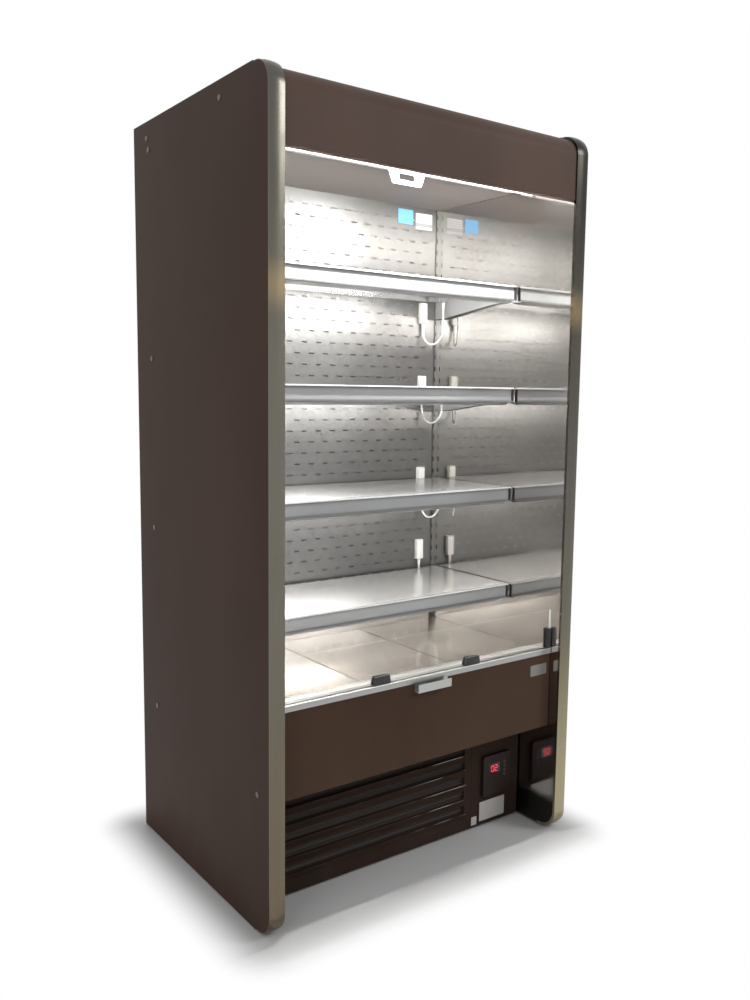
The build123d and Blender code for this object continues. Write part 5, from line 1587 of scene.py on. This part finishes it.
@dataclass
class ReturnStrip:
    """The sloped strip in front of the deck, with its full row of slots."""

    half: float = 0.458
    front: Flat = (-0.3057, 0.550)  # y and z
    rear: Flat = (-0.2370, 0.537)
    thickness: float = 0.0012
    lip_bottom: float = 0.5412
    leg_bottom: float = 0.513
    cell: Flat = (0.0138, 0.012)
    slot: Flat = (0.0090, 0.0090)
    slot_middle: float = 0.0115
    margin: float = 0.02
    shade_sheet_inset: float = 0.004

    def build(self) -> None:
        """Makes the strip, and a near-black sheet under its slots that is painted shade seen
        through them.
        """
        (front_y, top), (rear_y, rear_z) = self.front, self.rear
        slope = Vector((0, rear_y - front_y, rear_z - top))
        along = slope.normalized()
        across = Vector((1, 0, 0))
        columns = Matrix((across, along, along.cross(across))).transposed()
        frame = Matrix.Translation((0, front_y, top)) @ columns.to_4x4()
        thick = self.thickness
        sheet = PunchedSheet(frame, self.half, thick, self.slot, 0.0012)
        row = slope.length - self.slot_middle
        count = int((2 * self.half - self.margin) / self.cell[0])
        sheet.row(row, count, self.cell)
        sheet.rectangle(-self.half, self.half, 0, row - self.cell[1] / 2)
        sheet.rectangle(-self.half, self.half, row + self.cell[1] / 2, slope.length)
        sheet.thicken()
        for start, low, high in (
            (front_y, self.lip_bottom, top - thick),
            (rear_y - thick, self.leg_bottom, rear_z - thick),
        ):
            add_box(sheet.body, (-self.half, start, low), (self.half, start + thick, high))
        strip = add_mesh("slotted_return_strip", sheet.body, STRIP_METAL)
        settle(strip, CABINET, "white_sheet", "return_air_grille")
        # painted shade: a near-black sheet under the slots
        duct = bmesh.new()
        half = self.half - self.shade_sheet_inset
        low = (-half, rear_y - 0.021, rear_z - 0.0047)
        add_box(duct, low, (half, rear_y - 0.0020, rear_z - 0.0037))
        settle(add_mesh("return_duct_shade", duct, SLOT_SHADE), CABINET, "white_sheet")


# ---- small fittings ---------------------------------------------------------------------------
@dataclass
class ScrewCaps:
    """Domed caps over the screws of both end panels."""

    radius: float = 0.0075
    height: float = 0.0020
    rim: float = 0.0012
    panel_x: float = 0.500
    front_y: float = -0.370
    steps: int = 24
    places: tuple[Flat, ...] = (  # mm from the front, and over the floor
        (226, 1950), (650, 1947), (640, 1916), (639, 1369), (639, 906), (639, 395), (58, 346),
    )

    def build(self) -> None:
        """Makes all the caps as one piece."""
        body = bmesh.new()
        for side in (-1, 1):
            turn = Matrix.Rotation(side * math.pi / 2, 4, "Y")
            for back, height in self.places:
                middle = (side * self.panel_x, back * MM + self.front_y, height * MM)
                add_lathe(body, self._profile(), Matrix.Translation(middle) @ turn, self.steps)
        caps = add_mesh("domed_screw_caps", body, CAP, smooth=True)
        settle(caps, CABINET, "screw_caps", "panel_screw_caps")

    def _profile(self) -> list[Flat]:
        """Half section of a cap, from its seat to its crown."""
        points = [(0.0, 0.0), (self.radius, 0.0)]
        for step in range(1, 6):
            angle = math.pi / 2 * step / 5
            radius = self.radius - self.rim + self.rim * math.cos(angle)
            points.append((radius, 0.0008 + 0.0006 * math.sin(angle)))
        for share in (0.75, 0.5, 0.25, 0.0):
            points.append((self.radius * share * 0.8, self.height - 0.0006 * share**2))
        return points


@dataclass
class RiserClips:
    """Soft moulded clips that grip the riser glass just over the trim."""

    glass_y: Flat = (-0.327, -0.321)
    cheek: float = 0.005
    foot_z: float = 0.553
    corner: float = 0.004
    clips: tuple[tuple[float, float, float, float], ...] = (  # x, foot, crown and height
        (-0.15267, 0.056, 0.0475, 0.0235), (0.15267, 0.056, 0.0475, 0.0235),
        (-0.4488, 0.018, 0.018, 0.059), (0.4488, 0.018, 0.018, 0.059),
    )

    def build(self) -> None:
        """Makes the clips as one piece of rounded cheeks."""
        body = bmesh.new()
        edge_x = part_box("riser_clips")[1][0]
        for centre, foot, crown, height in self.clips:
            half = min(foot / 2, edge_x - abs(centre))
            taper = crown / foot - 1
            outline = [
                (centre + x * (1 + taper * (z / height + 0.5)), z + self.foot_z + height / 2)
                for x, z in rounded_outline(2 * half, height, self.corner, 5)
            ]
            for face_y, towards in zip(self.glass_y, (-1, 1)):
                add_cushion(body, outline, face_y, towards * self.cheek)
        clips = add_mesh("moulded_riser_clips", body, BLACK_PLASTIC, smooth=True)
        settle(clips, CABINET, "riser_clips", "riser_clips")


@dataclass
class Sockets:
    """Moulded lamp sockets on the back panel, each with a lid on its face."""

    size: Flat = (0.026, 0.066)
    lid: Flat = (0.017, 0.040)
    lid_height: float = 0.0008
    lid_rise: float = 0.004
    depth: float = 0.014
    middle_x: float = 0.393
    seat_y: float = 0.210

    def build(self) -> None:
        """Makes the four sockets as one piece."""
        body = bmesh.new()
        for top, rise in zip(SHELF_TOPS, LampLeads().socket_rise):
            middle = (top + rise) * MM + self.size[1] / 2
            face_y = self.seat_y - self.depth + self.lid_height
            for size, radius, z, seat, height in (
                (self.size, 0.003, middle, self.seat_y, 0.0006 - self.depth),
                (self.lid, 0.002, middle + self.lid_rise, face_y, -self.lid_height),
            ):
                outline = [
                    (self.middle_x + x, z + up) for x, up in rounded_outline(*size, radius, 4)
                ]
                add_cushion(body, outline, seat, height)
        sockets = add_mesh("moulded_lamp_sockets", body, WHITE_PLASTIC, smooth=True)
        settle(sockets, CABINET, "white_plastic", "lamp_sockets")


@dataclass
class RailStops:
    """Dark stops at the ends of the price rails."""

    ends_x: Flat = (0.4495, 0.4540)
    face_y: float = -0.1552
    rear_y: float = -0.1485
    rail: float = 0.0435
    bevel: float = 0.002

    def build(self) -> None:
        """Makes all eight stops as one piece."""
        body = bmesh.new()
        face, rear = self.face_y, self.rear_y
        for top in SHELF_TOPS:
            low, high = top * MM - self.rail - 0.0004, top * MM - 0.0035
            outline = [(face, low), (face, high - self.bevel), (face + self.bevel, high)]
            outline += [(rear, high), (rear, low)]
            for side in (-1, 1):
                low_x, high_x = sorted(side * x for x in self.ends_x)
                add_plate(body, [(low_x, y, z) for y, z in outline], (high_x - low_x, 0, 0))
        settle(add_mesh("rail_end_stops", body, BLACK_PLASTIC), CABINET, "riser_clips")


@dataclass
class ShelfLamps:
    """Slim lamp bars behind the rails, with their legs, wire ducts and connectors."""

    half: float = 0.434
    front_y: float = -0.153
    rear_y: float = -0.108
    leg_y: float = -0.147
    leg: float = 0.002
    below_top: float = 0.0445
    sheet: float = 0.001
    duct_x: Flat = (0.421, 0.435)
    duct: float = 0.009
    plug: Flat = (0.134, 0.156)
    plug_drop: float = 0.030

    def build(self) -> None:
        """Makes the bars of all four shelves as one piece."""
        body = bmesh.new()
        low_x, high_x = self.duct_x
        for shelf_top in SHELF_TOPS:
            top = shelf_top * MM
            bar, under = top - self.below_top, top - self.sheet
            self._bar(body, bar)
            for low, high in (
                ((-self.half, self.leg_y, bar), (self.half, self.leg_y + self.leg, under)),
                ((low_x, self.leg_y, under - self.duct), (high_x, self.plug[1], under)),
                ((low_x, self.plug[0], top - self.plug_drop), (high_x, self.plug[1], under)),
            ):
                add_box(body, low, high)
        settle(add_mesh("slim_shelf_lamps", body, SHELF_GLOW), CABINET, "lamp", "shelf_lamps")

    def _bar(self, body: Body, top: float) -> None:
        """One bar: a thin front lip, a shallow hood and a lens that faces the rear.

        Args:
            body: mesh to add to.
            top: height of the bar's top.
        """
        section = (
            (self.front_y, 0.0), (self.front_y, -0.0015), (self.front_y + 0.004, -0.0034),
            (self.rear_y - 0.030, -0.0075), (self.rear_y, -0.0022), (self.rear_y, 0.0),
        )
        add_plate(body, [(-self.half, y, top + z) for y, z in section], (2 * self.half, 0, 0))


@dataclass
class BlindCloth:
    """The stretch of blind cloth between the roller and the bar."""

    half: float = 0.445
    middle_y: float = -0.205
    low: float = 1.8633
    high: float = 1.8930
    thickness: float = 0.0008
    rows: int = 60
    columns: int = 12

    def build(self) -> None:
        """Makes the strip and hides the blind_fabric node."""
        height = self.high - self.low
        body = bmesh.new()
        sides = []
        for depth in (-self.thickness / 2, self.thickness / 2):
            grid = []
            for row in range(self.rows + 1):
                z = self.low + height * row / self.rows
                across = [2 * self.half * step / self.columns for step in range(self.columns + 1)]
                line = [(-self.half + x, self.middle_y + depth, z) for x in across]
                grid.append([body.verts.new(point) for point in line])
            sides.append(grid)
        join_grids(body, *sides)
        cloth = add_mesh("blind_cloth", body, CLOTH)
        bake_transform(cloth)
        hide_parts("blind_fabric")
        2 * self.half
        LOG.info("%s bends between %s and blind_bar", cloth.name, CABINET)


@dataclass
class Labels:
    """Bare plates and the lit digits of the controls."""

    kick_y: float = -0.2150
    box_y: float = -0.2260
    nose_y: float = -0.3290
    digit: Flat = (0.0100, 0.0180)
    digit_z: float = 0.1765
    segment: float = 0.0022

    def build(self) -> None:
        """Makes each plate and the digits."""
        for plate in (
            Sticker("rating_plate", (0.301, 0.018), (0.402, 0.077), self.kick_y, GREY_PLATE),
            Sticker("small_plate", (0.269, 0.013), (0.290, 0.039), self.kick_y, GREY_PLATE),
            Sticker("nose_plate", (0.380, 0.478), (0.445, 0.510), self.nose_y, BLANK_PLATE),
        ):
            plate.build()
        body = bmesh.new()
        for x, segments in ((0.3410, "abcdef"), (0.3550, "abged")):
            for segment in segments:
                self._segment(body, segment, x)
        settle(add_mesh("display_digits", body, LIT_SEGMENT), CABINET, "display")

    def _segment(self, body: Body, segment: str, centre_x: float) -> None:
        """One slim hexagon of a digit behind the display's lens.

        Args:
            body: mesh to add to.
            segment: its letter, a to g from the top clockwise and the middle last.
            centre_x: the digit's middle.
        """
        w, h = self.digit[0] / 2, self.digit[1] / 2
        places = {
            "a": (0, h, True), "b": (w, h / 2, False), "c": (w, -h / 2, False), "d": (0, -h, True),
            "e": (-w, -h / 2, False), "f": (-w, h / 2, False), "g": (0, 0, True),
        }
        x, z, level = places[segment]
        long = (w if level else h / 2) - self.segment * 0.35
        b = self.segment / 2
        shape = [(-long, 0), (-long + b, b), (long - b, b)]
        shape += [(-along, -across) for along, across in shape]
        corners = []
        for along, across in shape:
            dx, dz = (along, across) if level else (across, along)
            corners.append((centre_x + x + dx, self.box_y - 0.0001, self.digit_z + z + dz))
        add_plate(body, corners, (0, -0.0002, 0))


# ---- cooling plant ----------------------------------------------------------------------------
@dataclass
class LouvreShadeSheet:
    """A dark pleated sheet behind the kick's louvres: painted shade for the shade behind the
    blades.
    """

    across: Flat = (-0.450, 0.262)
    up: Flat = (0.040, 0.284)
    front_y: float = -0.2080
    depth: float = 0.004
    thickness: float = 0.0015
    pleat: float = 0.012

    def build(self) -> None:
        """Makes it as one pleated sheet."""
        low, high = self.up
        count = int((high - low) / (self.pleat / 2))
        step = (high - low) / count
        outline = [
            (self.front_y + self.depth * (index % 2), low + index * step)
            for index in range(count + 1)
        ]
        outline += [(y + self.thickness, z) for y, z in reversed(outline)]
        left, right = self.across
        body = bmesh.new()
        add_plate(body, [(left, y, z) for y, z in outline], (right - left, 0, 0))
        settle(add_mesh("louvre_shade_sheet", body, LOUVRE_SHADE), CABINET, "kick")


@dataclass
class FanWheel:
    """A moulded wheel with twisted, cambered blades."""

    name: str
    centre: Flat  # x and z
    towards: int
    tip: float
    hub: float
    depth: float = 0.024
    bore: float = 0.00405
    blades: int = 5
    thickness: float = 0.0016
    root: float = 0.003  # how far a blade starts inside the hub
    stations: int = 7
    columns: int = 9
    hub_steps: int = 32

    def build(self) -> None:
        """Makes the wheel in place of the plain one."""
        low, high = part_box(self.name)
        x, z = self.centre
        turn = Matrix.Rotation(self.towards * math.pi / 2, 4, "X")
        place = Matrix.Translation((x, (low[1] + high[1]) / 2, z)) @ turn
        body = bmesh.new()
        self._hub(body, place)
        for blade in range(self.blades):
            angle = 2 * math.pi * blade / self.blades
            self._blade(body, place @ Matrix.Rotation(angle, 4, "Z"))
        wheel = add_mesh(f"moulded_{self.name}", body, FAN, smooth=True)
        settle(wheel, self.name, "fan_plastic", self.name)

    def _hub(self, body: Body, place: Matrix) -> None:
        """The hub, bored through, with a domed front edge.

        Args:
            body: mesh to add to.
            place: the wheel's place.
        """
        half = self.depth / 2
        profile = [(self.bore, half), (self.hub - 0.004, half), (self.hub - 0.001, half - 0.0015)]
        profile += [(self.hub, half - 0.004), (self.hub, -half), (self.bore, -half)]
        rings = [add_ring(body, place, *point, self.hub_steps) for point in profile]
        bridge(body, rings + rings[:1])

    def _blade(self, body: Body, place: Matrix) -> None:
        """One blade, as a grid bent over its chord and turned along its length.

        Args:
            body: mesh to add to.
            place: the blade's place, out along x.
        """
        sides = []
        for side in (0.5, -0.5):
            grid = []
            for station in range(self.stations):
                share = station / (self.stations - 1)
                places = [column / (self.columns - 1) - 0.5 for column in range(self.columns)]
                points = [self._blade_point(share, along, side) for along in places]
                grid.append([body.verts.new(place @ point) for point in points])
            sides.append(grid)
        join_grids(body, *sides)

    def _blade_point(self, share: float, along: float, side: float) -> Vector:
        """A point of a blade's skin.

        Args:
            share: how far out it is, 0 at the hub and 1 at the tip.
            along: place on the chord, -0.5 to 0.5.
            side: 0.5 on the front skin and -0.5 on the back one.

        Returns:
            The point, in the wheel's own axes.
        """
        radius = self.hub - self.root + (self.tip - self.hub + self.root) * share
        chord = self.tip * (0.40 + 0.16 * share)
        camber = 0.08 * chord * (1 - 4 * along * along)
        flat = Vector((0, chord * along, camber + side * self.thickness))
        turned = Matrix.Rotation(math.radians(34 - 14 * share), 3, "X") @ flat
        sweep = Matrix.Rotation(0.20 * share * share, 3, "Z")
        point = sweep @ Vector((radius, turned.y, turned.z))
        reach = math.hypot(point.x, point.y)
        if reach > self.tip:
            point.x *= self.tip / reach
            point.y *= self.tip / reach
        limit = self.depth / 2 - 0.0005
        point.z = max(-limit, min(limit, point.z))
        return point


# ---- whole cabinet ----------------------------------------------------------------------------
def dress_nodes(nodes: dict[str, Item]) -> None:
    """Gives every CAD node its finish.

    Args:
        nodes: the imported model's objects by name.
    """
    for finish, names in NODE_FINISHES.items():
        for name in names:
            dress(nodes[name], finish)
            LOG.info("%s has finish %s", name, finish.name)
    bare = set(nodes) - {name for names in NODE_FINISHES.values() for name in names}
    if bare:
        raise ValueError(f"nodes without a finish: {sorted(bare)}")


def main() -> None:
    """Builds the scene."""
    logging.basicConfig(level=logging.INFO, format="%(message)s")
    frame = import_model()
    Viewpoint().build()
    LampLeads().build()
    dress_nodes(frame["nodes"])
    for assembly in (
        BackPanel(),
        ReturnStrip(),
        ScrewCaps(),
        ShelfLamps(),
        RailStops(),
        Sockets(),
        RiserClips(),
        BlindCloth(),
        Labels(),
        LouvreShadeSheet(),
        FanWheel("condenser_fan", (-0.240, 0.147), 1, 0.100, 0.026),
        FanWheel("evaporator_fan_left", (-0.230, 0.4405), -1, 0.060, 0.020),
        FanWheel("evaporator_fan_right", (0.230, 0.4405), -1, 0.060, 0.020),
        InteriorLight(),
        Studio(),
    ):
        assembly.build()


if __name__ == "__main__":
    main()
